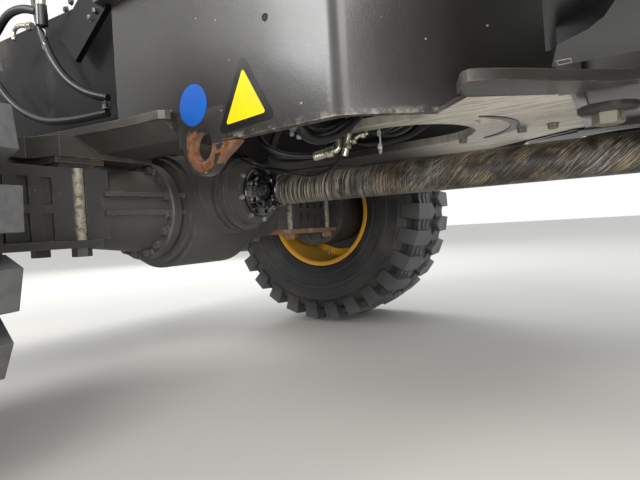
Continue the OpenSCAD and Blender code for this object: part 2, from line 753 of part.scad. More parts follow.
link_y = 330;
ear_t = 24;
ear_gap = 5;
lower_pivot_z = axle_z - 30;
upper_pivot_z = axle_z + 130;
link_rise = link_len * sin(link_angle);
link_run = link_len * cos(link_angle);
lower_pin_z = lower_pivot_z + link_rise;
upper_pin_z = upper_pivot_z + link_rise;
link_half = 22;
ram_y = 150;
ram_ear = 50;
ram_back = 700;
ram_z = top_z - 110;
ram_pin_z = blade_gap + 90;
ram_len = norm([blade_pin_back - ram_back, ram_z - ram_pin_z]);

module blade_brackets() {
    color("#403e3b") translate([rear_x, 0, 0]) {
        both_sides() difference() {
            for (y = [link_y - link_half - ear_gap - ear_t, link_y + link_half + ear_gap])
                slab_y(y, y + ear_t) polygon([[-arm_rear_end, flange_z], [-arm_rear_end, lower_pivot_z - 50],
                    [-link_pivot_back - 30, lower_pivot_z - 45], [-link_pivot_back - 45, lower_pivot_z],
                    [-link_pivot_back - 45, upper_pivot_z], [-arm_rear_end, flange_z]]);
        }
        both_sides() for (z = [lower_pivot_z, upper_pivot_z])
            translate([-link_pivot_back, link_y, z])
                rod_y(-link_half - ear_gap - ear_t - 8, link_half + ear_gap + ear_t + 8, link_pin_r);
        both_sides() {
            for (y = [ram_y - ram_ear - ear_t, ram_y + ram_ear]) slab_y(y, y + ear_t)
                polygon([[-arm_rear_end, ram_z - 70], [-ram_back - 30, ram_z - 30], [-ram_back - 30, ram_z + 30],
                    [-arm_rear_end, ram_z + 40]]);
            translate([-ram_back, ram_y, ram_z]) rod_y(-ram_ear - ear_t - 6, ram_ear + ear_t + 6, link_pin_r);
        }
    }
}

// One link between two pins, as a bar with round eyes, in the X and Z plane
module link(z0) {
    difference() {
        union() {
            translate([-link_pivot_back, 0, z0]) rod_y(-link_half, link_half, 46);
            translate([-blade_pin_back, 0, z0 + link_rise]) rod_y(-link_half, link_half, 42);
            translate([-link_pivot_back, 0, z0]) rotate([0, link_angle, 0])
                translate([-link_len, -link_half + 4, -30]) cube([link_len, 2 * link_half - 8, 60]);
        }
        translate([-link_pivot_back, 0, z0]) rod_y(-link_half - 1, link_half + 1, link_pin_r + run);
        translate([-blade_pin_back, 0, z0 + link_rise]) rod_y(-link_half - 1, link_half + 1, link_pin_r + run);
    }
}

module blade_lower_arms() {
    color("#403e3b") translate([rear_x, 0, 0]) both_sides() translate([0, link_y, 0]) link(lower_pivot_z);
}

module blade_upper_links() {
    color("#403e3b") translate([rear_x, 0, 0]) both_sides() translate([0, link_y, 0]) link(upper_pivot_z);
}

module blade() {
    board_t = 14;
    back = blade_pin_back + 78;
    bow_r = 620;
    top = blade_gap + blade_h;
    mid = blade_gap + blade_h / 2 + 30;
    bow_x = -back - board_t - bow_r + 20;
    low_a = asin((blade_gap - mid) / bow_r);
    high_a = asin((top - mid) / bow_r);
    board = concat(arc(bow_x, mid, bow_r, low_a, high_a, 8), arc(bow_x, mid, bow_r + board_t, high_a, low_a, 8));
    color("#454340") translate([rear_x, 0, 0]) {
        slab_y(-blade_w / 2, blade_w / 2) polygon(board);
        slab_y(-blade_w / 2, blade_w / 2)
            polygon([[-blade_reach, blade_gap], [-blade_reach + 30, blade_gap], [-back + 4, blade_gap + 100],
                [-back - 18, blade_gap + 110]]);
        both_sides() {
            for (y = [link_y - link_half - ear_gap - ear_t, link_y + link_half + ear_gap])
                slab_y(y, y + ear_t) polygon([[-back - 16, lower_pin_z - 80], [-blade_pin_back + 30, lower_pin_z - 30],
                    [-blade_pin_back + 38, lower_pin_z], [-blade_pin_back + 38, upper_pin_z],
                    [-blade_pin_back + 20, upper_pin_z + 36], [-back - 16, upper_pin_z + 40]]);
            for (z = [lower_pin_z, upper_pin_z]) translate([-blade_pin_back, link_y, z])
                rod_y(-link_half - ear_gap - ear_t - 8, link_half + ear_gap + ear_t + 8, link_pin_r);
            for (y = [ram_y - ram_ear - ear_t, ram_y + ram_ear]) slab_y(y, y + ear_t)
                polygon([[-back - 16, ram_pin_z - 50], [-blade_pin_back + 36, ram_pin_z - 30],
                    [-blade_pin_back + 36, ram_pin_z + 30], [-back - 16, ram_pin_z + 60]]);
        }
    }
}

ram_barrel_r = 42;
ram_rod_r = 25;
module ram_place() {
    translate([rear_x - ram_back, 0, ram_z])
        rotate([0, -90 - atan2(ram_z - ram_pin_z, blade_pin_back - ram_back), 0]) children();
}

module blade_cylinder_barrels() {
    color("#2b2b2a") both_sides() translate([0, ram_y, 0]) ram_place() difference() {
        union() {
            rod_y(5 - ram_ear, ram_ear - 5, 38);
            translate([0, 0, 30]) cylinder(h = ram_len - 130, r = ram_barrel_r);
        }
        rod_y(-ram_ear, ram_ear, link_pin_r + run);
        translate([0, 0, 60]) cylinder(h = ram_len, r = ram_rod_r + run);
    }
}

module blade_cylinder_rods() {
    color("#b4b4b0") both_sides() translate([0, ram_y, 0]) ram_place() {
        translate([0, 0, 62]) cylinder(h = ram_len - 90, r = ram_rod_r);
        difference() {
            translate([0, 0, ram_len]) rod_y(5 - ram_ear, ram_ear - 5, 36);
            translate([0, 0, ram_len]) rod_y(-ram_ear, ram_ear, link_pin_r + 4);
        }
    }
}

centre_box();
belly_plate();
top_plate();
rear_arms();
front_arm();
lashing_eyes();
slew_ring_inner();
slew_ring_outer();
centre_swivel();
swivel_hoses();
rear_axle_housing();
rear_axle_clamps();
transfer_gearbox();
travel_motor();
toolbox_right();
toolbox_left();
toolbox_brackets();
lock_cylinders();
lock_plunger_left();
lock_plunger_right();
blade_brackets();
propshaft_tube();
propshaft_joints();
front_axle_housing();
steering_cylinder();
steering_rod();
knuckle_left();
knuckle_right();
tyre_rear_left();
tyre_rear_right();
tyre_front_left();
tyre_front_right();
rim_rear_left();
rim_rear_right();
rim_front_left();
rim_front_right();
hub_rear_left();
hub_rear_right();
hub_front_left();
hub_front_right();
blade();
blade_lower_arms();
blade_upper_links();
blade_cylinder_barrels();
blade_cylinder_rods();
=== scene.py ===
import json
import bmesh
import bpy
import numpy as np
from math import atan2, cos, pi, radians, sin, sqrt
from mathutils import Matrix, Vector

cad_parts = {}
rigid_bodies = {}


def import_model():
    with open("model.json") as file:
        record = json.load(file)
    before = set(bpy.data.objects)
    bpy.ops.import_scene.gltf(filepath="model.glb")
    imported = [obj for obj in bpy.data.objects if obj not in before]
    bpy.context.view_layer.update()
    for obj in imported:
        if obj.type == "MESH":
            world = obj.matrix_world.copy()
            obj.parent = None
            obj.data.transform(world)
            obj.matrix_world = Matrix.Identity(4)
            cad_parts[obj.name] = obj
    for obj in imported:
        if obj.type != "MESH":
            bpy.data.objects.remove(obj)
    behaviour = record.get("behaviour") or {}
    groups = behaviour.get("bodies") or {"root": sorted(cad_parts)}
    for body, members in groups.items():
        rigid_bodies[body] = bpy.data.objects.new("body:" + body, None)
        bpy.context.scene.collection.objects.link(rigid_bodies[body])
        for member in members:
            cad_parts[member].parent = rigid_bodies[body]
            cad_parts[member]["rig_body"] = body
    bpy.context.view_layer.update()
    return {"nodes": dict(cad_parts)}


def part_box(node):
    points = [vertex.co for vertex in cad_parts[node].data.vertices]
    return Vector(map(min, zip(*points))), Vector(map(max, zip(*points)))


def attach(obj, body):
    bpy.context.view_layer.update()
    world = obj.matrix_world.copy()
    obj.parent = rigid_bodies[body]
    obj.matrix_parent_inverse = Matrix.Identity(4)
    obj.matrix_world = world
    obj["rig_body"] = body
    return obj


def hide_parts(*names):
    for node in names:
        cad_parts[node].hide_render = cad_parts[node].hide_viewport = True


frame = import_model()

# Metres, X to the front axle, Y to the left, Z up from the ground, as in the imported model
print("stage: frame loaded,", len(frame["nodes"]), "nodes")


def middleOf(node):
    # The middle of a CAD node's box
    low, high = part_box(node)
    return (low + high) / 2


rearX = middleOf("rim_rear_right").x
frontX = middleOf("rim_front_right").x
axleZ = middleOf("rim_rear_right").z
wheelY = 1.04
shaftZ = middleOf("propshaft_tube").z
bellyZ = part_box("belly_plate")[0].z - 0.020
topZ = bellyZ + 0.400

# Camera, fitted to the photograph's frame of 640 by 480
cameraFit = {
    "place": (rearX + 1.256, -1.241, 0.447),
    "ahead": (-0.514, 0.857, -0.022),
    "right": (0.857, 0.512, -0.056),
    "focalPixels": 502.7,
    "frameWidth": 640,
    "frameHeight": 480,
    "sensor": 36.0,
}


def cameraAxes(fit):
    # Unit directions ahead, to the right and up; the right one is made square to the one ahead
    ahead = Vector(fit["ahead"]).normalized()
    right = Vector(fit["right"])
    right = (right - ahead * right.dot(ahead)).normalized()
    return ahead, right, right.cross(ahead)


def makeCamera(fit):
    # The lens is sensor width * focal length in pixels / frame width
    data = bpy.data.cameras.new("shotCamera")
    data.sensor_width = fit["sensor"]
    data.lens = fit["sensor"] * fit["focalPixels"] / fit["frameWidth"]
    data.clip_start, data.clip_end = 0.02, 200
    ahead, right, up = cameraAxes(fit)
    turn = Matrix((right, up, -ahead)).transposed().to_4x4()
    camera = bpy.data.objects.new("shotCamera", data)
    bpy.context.scene.collection.objects.link(camera)
    camera.matrix_world = Matrix.Translation(fit["place"]) @ turn
    bpy.context.scene.camera = camera


def seen(px, py, y):
    # The point on the line through a pixel of the frame, at a distance y to the left of the middle
    ahead, right, up = cameraAxes(cameraFit)
    focal = cameraFit["focalPixels"]
    line = (ahead + right * ((px - cameraFit["frameWidth"] / 2) / focal)
            + up * ((cameraFit["frameHeight"] / 2 - py) / focal))
    start = Vector(cameraFit["place"])
    return tuple(start + line * ((y - start.y) / line.y))


def seenAtHeight(px, py, z):
    # The point at height z on the line through a pixel of the frame
    low, high = np.array(seen(px, py, -1.0)), np.array(seen(px, py, 0.4))
    return tuple(low + (high - low) * ((z - low[2]) / (high[2] - low[2])))


def at(ahead, y, z):
    # A place by its distance ahead of the rear axle
    return (rearX + ahead, y, z)


def plan(outline, mirror):
    # An outline seen from above, by distance ahead of the rear axle and from the middle
    return [(rearX + x, mirror * y) for x, y in outline]


def traced(before, pixels, after=()):
    # Points of a line: places in metres, points of the photograph, and places in metres again
    return [*[at(*p) for p in before], *[seen(*p) for p in pixels], *[at(*p) for p in after]]


makeCamera(cameraFit)
print("stage: camera")

# Shapes as arrays: each is (points, faces, finish index)


def gridFaces(rows, columns, closeRows=False, closeColumns=False):
    # Quads between neighbours of a rows by columns lattice of points, joined round where asked
    i = np.arange(rows if closeRows else rows - 1)
    j = np.arange(columns if closeColumns else columns - 1)
    i, j = np.meshgrid(i, j, indexing="ij")
    i2, j2 = (i + 1) % rows, (j + 1) % columns
    corners = [i * columns + j, i2 * columns + j, i2 * columns + j2, i * columns + j2]
    return np.stack(corners, -1).reshape(-1, 4)


def lathe(profile, centre, axis="y", turns=72, finish=0, closed=True):
    # Points radius * (cos t, sin t) about an axis, at the distance along it that the profile gives
    profile = np.asarray(profile, float)
    t = np.linspace(0, 2 * pi, turns, endpoint=False)
    radius, along = profile[:, 0], profile[:, 1]
    a = radius[None, :] * np.cos(t)[:, None]
    b = radius[None, :] * np.sin(t)[:, None]
    c = np.broadcast_to(along[None, :], a.shape)
    order = {"x": (c, a, b), "y": (b, c, a), "z": (a, b, c)}[axis]
    points = np.stack(order, -1).reshape(-1, 3) + np.asarray(centre, float)
    return points, gridFaces(turns, len(profile), True, closed), finish


def frames(path, closed=False):
    # Directions along a path and two square to it, carried from point to point without twist
    if closed:
        ahead = np.roll(path, -1, 0) - np.roll(path, 1, 0)
    else:
        ahead = np.gradient(path, axis=0)
    ahead /= np.linalg.norm(ahead, axis=1)[:, None]
    side = np.zeros_like(path)
    before = np.array((0, 0, 1) if abs(ahead[0][2]) < 0.9 else (0, 1, 0), float)
    for k in range(len(path)):
        side[k] = before - ahead[k] * before.dot(ahead[k])
        side[k] /= np.linalg.norm(side[k])
        before = side[k]
    return ahead, side, np.cross(ahead, side)


def sweepSection(path, section, scale=1.0, finish=0, closed=False):
    # A section carried along a path: point = path + scale * (u * side + v * across)
    path, section = np.asarray(path, float), np.asarray(section, float)
    _, side, across = frames(path, closed)
    n, m = len(path), len(section)
    scale = np.broadcast_to(np.asarray(scale, float), (n,))[:, None, None]
    points = (path[:, None, :]
              + scale * section[None, :, 0, None] * side[:, None, :]
              + scale * section[None, :, 1, None] * across[:, None, :]).reshape(-1, 3)
    faces = [gridFaces(n, m, closed, True)]
    if not closed:
        # Both ends are shut with fans round their middle points
        for ring in (np.arange(m), np.arange(m) + (n - 1) * m):
            faces.append(np.stack([ring, np.roll(ring, -1), np.full(m, len(points))], -1))
            points = np.concatenate([points, points[ring].mean(0)[None, :]])
    return points, faces, finish


def circleSection(sides):
    # A circle of radius 1: (cos t, sin t)
    t = np.linspace(0, 2 * pi, sides, endpoint=False)
    return np.stack([np.cos(t), np.sin(t)], -1)


def tube(path, radius, sides=14, finish=0, closed=False):
    # A circle carried along a path, its radius one value or one for each point
    return sweepSection(path, circleSection(sides), radius, finish, closed)


def evenly(points, count):
    # Points spaced evenly by length along a line, as many as count says for its length
    path = np.asarray(points, float)
    length = np.concatenate([[0], np.cumsum(np.linalg.norm(np.diff(path, axis=0), axis=1))])
    even = np.linspace(0, length[-1], count(length[-1]))
    return even, np.stack([np.interp(even, length, path[:, k]) for k in range(3)], -1)


def curveThrough(points, count):
    # Catmull-Rom curve through the points, sampled evenly by its length
    p = np.asarray(points, float)
    p = np.vstack([2 * p[0] - p[1], p, 2 * p[-1] - p[-2]])
    t = np.linspace(0, 1, 24, endpoint=False)[:, None]
    out = []
    for a, b, c, d in zip(p, p[1:], p[2:], p[3:]):
        out.append(0.5 * (2 * b + (c - a) * t + (2 * a - 5 * b + 4 * c - d) * t**2
                          + (3 * b - a - 3 * c + d) * t**3))
    return evenly(np.vstack([*out, p[-2:-1]]), lambda length: count)[1]


def moved(shape, matrix):
    # Every point times a matrix
    points, faces, finish = shape
    m = np.array(matrix, float)
    return points @ m[:3, :3].T + m[:3, 3], faces, finish


def towards(place, direction, turn=0.0):
    # Matrix that stands a shape drawn along +Z at a place, pointing in a direction
    turned = Vector(direction).to_track_quat("Z", "Y").to_matrix().to_4x4()
    return Matrix.Translation(place) @ turned @ Matrix.Rotation(turn, 4, "Z")


def slices(rings, finish=0):
    # A closed solid through sections that all have the same number of points
    rings = np.asarray(rings, float)
    n, m = rings.shape[:2]
    first = np.arange(m)[None, :]
    return rings.reshape(-1, 3), [gridFaces(n, m, False, True), first, first + (n - 1) * m], finish


def extruded(outline, low, high, axis="z", finish=0):
    # A prism over a plane outline, from low to high along an axis
    u, v = np.asarray(outline, float).T
    rings = []
    for level in (low, high):
        c = np.full(len(u), level)
        rings.append(np.stack({"x": (c, u, v), "y": (u, c, v), "z": (u, v, c)}[axis], -1))
    return slices(rings, finish)


def block(low, high, finish=0):
    # A box between two opposite corners
    outline = [(low[0], low[1]), (high[0], low[1]), (high[0], high[1]), (low[0], high[1])]
    return extruded(outline, low[2], high[2], "z", finish)


def hexHead(width, height, washer=True, finish=0):
    # A hexagon head with chamfered corners on a washer, drawn along +Z from its seat
    r = width / sqrt(3)
    base = height * 0.18 if washer else 0.0
    seat = [(0, 0), (r * 1.22, 0), (r * 1.25, base * 0.4), (r * 1.2, base), (0, base)]
    head = [(0, base), (r * 0.98, base), (r, base + height * 0.1), (r, base + height * 0.84),
            (r * 0.88, base + height), (0, base + height)]
    made = [(seat, 20)] * washer + [(head, 6)]
    return [lathe(profile, (0, 0, 0), "z", turns, finish, False) for profile, turns in made]


def stamped(shapes, matrices):
    # Every shape at every place
    return [moved(s, m) for m in matrices for s in shapes]


def ringPlaces(centre, axis, radius, count, along=0.0, start=0.0):
    # Matrices for count shapes on a circle about an axis, all pointing along it
    direction = {"x": Vector((1, 0, 0)), "y": Vector((0, 1, 0)), "-y": Vector((0, -1, 0))}[axis]
    flat = {"x": ((0, 1, 0), (0, 0, 1)), "y": ((0, 0, 1), (1, 0, 0))}[axis[-1]]
    places = []
    for k in range(count):
        t = start + 2 * pi * k / count
        spot = (Vector(centre) + direction * along
                + Vector(flat[0]) * radius * cos(t) + Vector(flat[1]) * radius * sin(t))
        places.append(towards(spot, direction, t))
    return places


def fastened(place, direction, width, height, washer=True, finish=0):
    # One hexagon head on its seat, pointing in a direction
    return stamped(hexHead(width, height, washer, finish), [towards(place, direction)])


def makeMesh(name, shapes, attributes=None):
    # One mesh from several shapes, with doubles merged and normals turned outwards
    points, corners, sizes, finishes, offset = [], [], [], [], 0
    for shape in shapes:
        points.append(shape[0])
        for faces in shape[1] if isinstance(shape[1], list) else [shape[1]]:
            corners.append((faces + offset).ravel())
            sizes.append(np.full(len(faces), faces.shape[1]))
            finishes.append(np.full(len(faces), shape[2]))
        offset += len(shape[0])
    points, corners = np.vstack(points), np.concatenate(corners)
    sizes, finishes = np.concatenate(sizes), np.concatenate(finishes)
    mesh = bpy.data.meshes.new(name)
    mesh.vertices.add(len(points))
    mesh.vertices.foreach_set("co", points.astype(np.float32).ravel())
    mesh.loops.add(len(corners))
    mesh.loops.foreach_set("vertex_index", corners.astype(np.int32))
    mesh.polygons.add(len(sizes))
    mesh.polygons.foreach_set("loop_start", np.concatenate([[0], np.cumsum(sizes)[:-1]]).astype(np.int32))
    mesh.polygons.foreach_set("material_index", finishes.astype(np.int32))
    for key, values in (attributes or {}).items():
        layer = mesh.attributes.new(key, "FLOAT", "POINT")
        layer.data.foreach_set("value", np.asarray(values, np.float32))
    mesh.update(calc_edges=True)
    mesh.validate()
    work = bmesh.new()
    work.from_mesh(mesh)
    bmesh.ops.remove_doubles(work, verts=work.verts, dist=1e-6)
    bmesh.ops.dissolve_degenerate(work, edges=work.edges, dist=1e-7)
    bmesh.ops.recalc_face_normals(work, faces=work.faces)
    work.to_mesh(mesh)
    work.free()
    return mesh


def finishPiece(name, mesh, materials, body, slot, replaces=(), bevel=0.0, smooth=38, segments=2):
    # Shades, names and rounds a mesh, and gives it its body
    # The slot argument is not used
    mesh.polygons.foreach_set("use_smooth", np.ones(len(mesh.polygons), bool))
    mesh.set_sharp_from_angle(angle=radians(smooth))
    for material in materials:
        mesh.materials.append(material)
    piece = bpy.data.objects.new(name, mesh)
    bpy.context.scene.collection.objects.link(piece)
    if bevel:
        edge = piece.modifiers.new("roundedEdges", "BEVEL")
        edge.width, edge.segments = bevel, segments
        edge.limit_method, edge.angle_limit = "ANGLE", radians(smooth)
        edge.harden_normals = True
        edge.use_clamp_overlap = True
    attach(piece, body)
    if replaces:
        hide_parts(*replaces)
    return piece


def makePiece(name, shapes, materials, body, slot, attributes=None, **options):
    # A new piece from shapes
    return finishPiece(name, makeMesh(name, shapes, attributes), materials, body, slot, **options)


def bodyOf(node):
    # The body that a CAD node rides on
    return frame["nodes"][node]["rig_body"]


def cleanCopy(node):
    # A merged copy of a CAD node's mesh with flat faces joined
    mesh = frame["nodes"][node].data.copy()
    mesh.name = "dressed_" + node
    for key in ("custom_normal", "sharp_edge", "sharp_face"):
        layer = mesh.attributes.get(key)
        if layer:
            mesh.attributes.remove(layer)
    work = bmesh.new()
    work.from_mesh(mesh)
    bmesh.ops.remove_doubles(work, verts=work.verts, dist=2e-5)
    bmesh.ops.dissolve_limit(work, angle_limit=radians(0.6), verts=work.verts, edges=work.edges)
    work.to_mesh(mesh)
    work.free()
    mesh.materials.clear()
    mesh.polygons.foreach_set("material_index", np.zeros(len(mesh.polygons), np.int32))
    return mesh


def finishNode(node, mesh, materials, slot, bevel):
    # A piece that stands for the CAD node whose changed mesh it has
    finishPiece("dressed_" + node, mesh, materials, bodyOf(node), slot, (node,), bevel, 30)


def makeNode(node, shapes, materials, slot, bevel=0.0, smooth=30, attributes=None, segments=2):
    # A new piece that stands for a CAD node
    makePiece("dressed_" + node, shapes, materials, bodyOf(node), slot, attributes, replaces=(node,),
              bevel=bevel, smooth=smooth, segments=segments)


# Finishes


def colour(code):
    # Linear colour from a hex code
    parts = [int(code[k:k + 2], 16) / 255 for k in (1, 3, 5)]
    return (*[c / 12.92 if c <= 0.04045 else ((c + 0.055) / 1.055) ** 2.4 for c in parts], 1.0)


def nodeMaker(tree):
    # Returns a function that adds a node, with settings by keyword and inputs as values or links
    def make(kind, inputs=None, **settings):
        node = tree.nodes.new("ShaderNode" + kind)
        for key, value in settings.items():
            setattr(node, key, value)
        for key, value in (inputs or {}).items():
            if isinstance(value, bpy.types.NodeSocket):
                tree.links.new(value, node.inputs[key])
            else:
                node.inputs[key].default_value = value
        return node
    return make


def mathMaker(make):
    # Returns a function for sums on node sockets

    def calc(operation, a, b=0.0, clamp=False):
        return make("Math", {0: a, 1: b}, operation=operation, use_clamp=clamp).outputs[0]
    return calc


def mixer(make):
    # Returns a function that mixes two colours by a factor

    def mix(factor, a, b):
        return make("Mix", {0: factor, 6: a, 7: b}, data_type="RGBA").outputs[2]
    return mix


def ranged(make, value, low, high, outLow=0.0, outHigh=1.0):
    # A value carried smoothly from one range to another
    return make("MapRange", {0: value, 1: low, 2: high, 3: outLow, 4: outHigh},
                interpolation_type="SMOOTHSTEP").outputs[0]


def noise(make, place, scale, detail, rough=0.5):
    # Noise on a place, from 0 to 1
    return make("TexNoise", {"Vector": place, "Scale": scale, "Detail": detail,
                             "Roughness": rough}).outputs[0]


def newGroup(name, inputs, output):
    # A shader node group with number sockets; returns what its effect is made with and a closing function
    tree = bpy.data.node_groups.new(name, "ShaderNodeTree")
    for socket, default in inputs.items():
        made = tree.interface.new_socket(socket, in_out="INPUT", socket_type="NodeSocketFloat")
        made.default_value = default
    tree.interface.new_socket(output, in_out="OUTPUT", socket_type="NodeSocketFloat")
    given, out = tree.nodes.new("NodeGroupInput"), tree.nodes.new("NodeGroupOutput")
    make = nodeMaker(tree)

    def close(value):
        tree.links.new(value, out.inputs[0])
        return tree

    return make, mathMaker(make), make("TexCoord").outputs["Object"], given.outputs, close


def makeWornEdges():
    # Mask of 1 on edges, broken up by noise: how far a rounded normal leaves the true one
    make, calc, place, given, close = newGroup(
        "wornEdges", {"Width": 0.004, "Breakup": 30.0, "Reach": 0.5}, "Mask")
    rounded = make("Bevel", {"Radius": given["Width"]}, samples=4).outputs[0]
    plain = make("NewGeometry").outputs["Normal"]
    dot = make("VectorMath", {0: rounded, 1: plain}, operation="DOT_PRODUCT").outputs["Value"]
    bend = calc("SUBTRACT", 1.0, dot)
    broken = noise(make, place, given["Breakup"], 5.0, 0.65)
    gate = calc("SUBTRACT", calc("ADD", broken, given["Reach"]), 1.0)
    return close(calc("MULTIPLY", ranged(make, bend, 0.01, 0.14), ranged(make, gate, -0.08, 0.06),
                      clamp=True))


def makeSpeckle():
    # Mask of small scattered spots: cells whose middle is nearer than a noisy size
    make, calc, place, given, close = newGroup(
        "speckle", {"Scale": 60.0, "Size": 0.12, "Share": 0.3}, "Mask")
    cells = make("TexVoronoi", {"Vector": place, "Scale": given["Scale"], "Randomness": 1.0})
    draw = make("SeparateColor", {0: cells.outputs["Color"]})
    chosen = calc("LESS_THAN", draw.outputs[0], given["Share"])
    size = calc("MULTIPLY", given["Size"], calc("ADD", draw.outputs[1], 0.3))
    near = calc("SUBTRACT", size, cells.outputs["Distance"])
    return close(calc("MULTIPLY", chosen, ranged(make, near, -0.01, 0.04)))


def makeSettledDust():
    # Mask of dust: more on faces that look up, and in cloudy patches
    make, calc, place, given, close = newGroup(
        "settledDust", {"Scale": 3.0, "Up": 0.8, "Patches": 0.35}, "Mask")
    height = make("SeparateXYZ", {0: make("NewGeometry").outputs["Normal"]}).outputs[2]
    cloud = noise(make, place, given["Scale"], 8.0, 0.62)
    fine = noise(make, place, 95.0, 4.0, 0.7)
    patchy = calc("MULTIPLY", ranged(make, cloud, 0.48, 0.72), given["Patches"])
    upper = calc("MULTIPLY", ranged(make, height, 0.35, 0.95), given["Up"])
    return close(calc("MULTIPLY", calc("ADD", patchy, upper), ranged(make, fine, 0.3, 0.62, 0.45, 1.0),
                      clamp=True))


def makeBrokenSurface():
    # Height for paint and castings: broad waves, a fine grain and pits
    make, calc, place, given, close = newGroup(
        "brokenSurface", {"Grain": 300.0, "Waves": 12.0, "Pits": 0.3}, "Height")
    grain = calc("MULTIPLY", noise(make, place, given["Grain"], 3.0), 0.35)
    waves = calc("MULTIPLY", noise(make, place, given["Waves"], 3.0), 1.4)
    pits = make("TexVoronoi", {"Vector": place, "Scale": calc("MULTIPLY", given["Grain"], 0.35)})
    holes = ranged(make, pits.outputs["Distance"], 0.0, 0.35, -1.0, 0.0)
    return close(calc("ADD", grain, calc("ADD", waves, calc("MULTIPLY", holes, given["Pits"]))))


effects = {"wornEdges": makeWornEdges(), "speckle": makeSpeckle(), "settledDust": makeSettledDust(),
           "brokenSurface": makeBrokenSurface()}


def useEffect(make, name, **values):
    # Places an effect in a material with values of its own
    node = make("Group", None, node_tree=effects[name])
    for key, value in values.items():
        node.inputs[key].default_value = value
    return node.outputs[0]


def newMaterial(name, **shaderValues):
    # A material with its Principled shader, whose constants go on the shader's own sockets
    material = bpy.data.materials.new(name)
    material.use_nodes = True
    tree = material.node_tree
    tree.nodes.clear()
    make = nodeMaker(tree)
    shader = make("BsdfPrincipled")
    for key, value in shaderValues.items():
        shader.inputs[key.replace("_", " ")].default_value = value
    tree.links.new(shader.outputs[0], make("OutputMaterial").inputs[0])

    def link(socket, value):
        tree.links.new(value, shader.inputs[socket])

    return material, make, mathMaker(make), mixer(make), link


def bumped(make, link, height, distance):
    # Turns a height into the shader's normal
    bump = make("Bump", {"Strength": 0.5, "Distance": distance, "Height": height})
    link("Normal", bump.outputs[0])


paintLook = {"specular": 0.5, "coat": 0.0, "dustUp": 0.75, "dustPatches": 0.25, "dust": "#8f877a",
             "speckScale": 34.0, "speckShare": 0.16, "speck": "#b3a48e", "edgeWidth": 0.004,
             "edgeReach": 0.46, "edge": "#7d6a58", "waves": 9.0, "pits": 0.1, "bump": 0.0006}


def paintedMetal(name, **own):
    # Paint on steel or a casting: base tone with clouds, dust, pale specks, worn edges and rust on them
    look = {**paintLook, **own}
    material, make, calc, mix, link = newMaterial(
        name, Metallic=0.0, Specular_IOR_Level=look["specular"], Coat_Weight=look["coat"],
        Coat_Roughness=0.18)
    place = make("TexCoord").outputs["Object"]
    cloud = noise(make, place, 2.2, 6.0, 0.6)
    tone = mix(ranged(make, cloud, 0.35, 0.68), colour(look["dark"]), colour(look["base"]))
    dust = useEffect(make, "settledDust", Scale=3.0, Up=look["dustUp"], Patches=look["dustPatches"])
    tone = mix(dust, tone, colour(look["dust"]))
    specks = useEffect(make, "speckle", Scale=look["speckScale"], Size=0.075, Share=look["speckShare"])
    tone = mix(calc("MULTIPLY", specks, 0.75), tone, colour(look["speck"]))
    if "pale" in look:
        # Pale dry mud rubbed on in streaks, more and more towards the front; part of this pale colour is
        # painted light, standing in for bounce light from the bright floor
        ahead = make("SeparateXYZ", {0: place}).outputs[0]
        streak = make("Mapping", {"Vector": place, "Scale": (3.0, 26.0, 1.0),
                                  "Rotation": (0, 0, 0.5)}).outputs[0]
        share = ranged(make, ahead, rearX + look["paleFrom"], rearX + look["paleTo"])
        grainy = ranged(make, noise(make, streak, 4.0, 9.0, 0.72), 0.28, 0.60, 0.35, 1.0)
        tone = mix(calc("MULTIPLY", share, grainy), tone, colour(look["pale"]))
    if "scuff" in look:
        # Chipped and rubbed paint along the lower edge
        height = make("SeparateXYZ", {0: place}).outputs[2]
        low = ranged(make, height, look["scuffTo"], look["scuffFrom"])
        chips = ranged(make, noise(make, place, 46.0, 7.0, 0.75), 0.46, 0.60)
        chipped = calc("MULTIPLY", low, chips, clamp=True)
        tone = mix(calc("MULTIPLY", chipped, 0.55), tone, colour(look["scuff"]))
    if "rust" in look:
        # Scaly rust where the piece's own rust attribute is high
        share = make("Attribute", None, attribute_name="rust").outputs["Fac"]
        scaly = noise(make, place, 60.0, 9.0, 0.75)
        uneven = calc("MULTIPLY", calc("SUBTRACT", scaly, 0.5), 1.1)
        shade = mix(ranged(make, scaly, 0.38, 0.62), colour(look["rustDark"]), colour(look["rust"]))
        tone = mix(ranged(make, calc("ADD", share, uneven), 0.38, 0.58), tone, shade)
    worn = useEffect(make, "wornEdges", Width=look["edgeWidth"], Breakup=28.0, Reach=look["edgeReach"])
    link("Base Color", mix(worn, tone, colour(look["edge"])))
    sheen = ranged(make, cloud, 0.3, 0.7, look["rough"] - 0.05, look["rough"] + 0.07)
    link("Roughness", calc("ADD", calc("MULTIPLY", dust, 0.35), sheen, clamp=True))
    height = useEffect(make, "brokenSurface", Grain=260.0, Waves=look["waves"], Pits=look["pits"])
    bumped(make, link, height, look["bump"])
    return material


framePaint = paintedMetal("framePaint", base="#454340", dark="#393734", rough=0.42, coat=0.15,
                          speckShare=0.2)
wallPaint = paintedMetal("wallPaint", base="#2b2a28", dark="#232221", rough=0.32, coat=0.3, specular=0.4,
                         dustPatches=0.05, dust="#5d5850", bump=0.0011, speckShare=0.2,
                         scuffFrom=bellyZ - 0.014, scuffTo=bellyZ + 0.004, scuff="#9a9286")
# The belly's pale front is part dry mud and part painted bounce light from the floor
bellyPaint = paintedMetal("bellyPaint", base="#4a4743", dark="#3b3936", rough=0.5, paleFrom=0.62,
                          paleTo=0.98, pale="#eee7d9", edge="#8a7f70")
eyePaint = paintedMetal("eyePaint", base="#312f2d", dark="#272624", rough=0.36, coat=0.25, speckShare=0.35,
                        rust="#74543e", edge="#a0958a", edgeReach=0.3, bump=0.0008, pits=0.35,
                        rustDark="#5a3522")
armPaint = paintedMetal("armPaint", base="#474541", dark="#383634", rough=0.46, dustPatches=0.35,
                        edge="#8b6a4c")
axlePaint = paintedMetal("axlePaint", base="#474645", dark="#383838", rough=0.55, pits=0.5, bump=0.0012,
                         waves=14.0, dustPatches=0.3, dust="#6f675c")
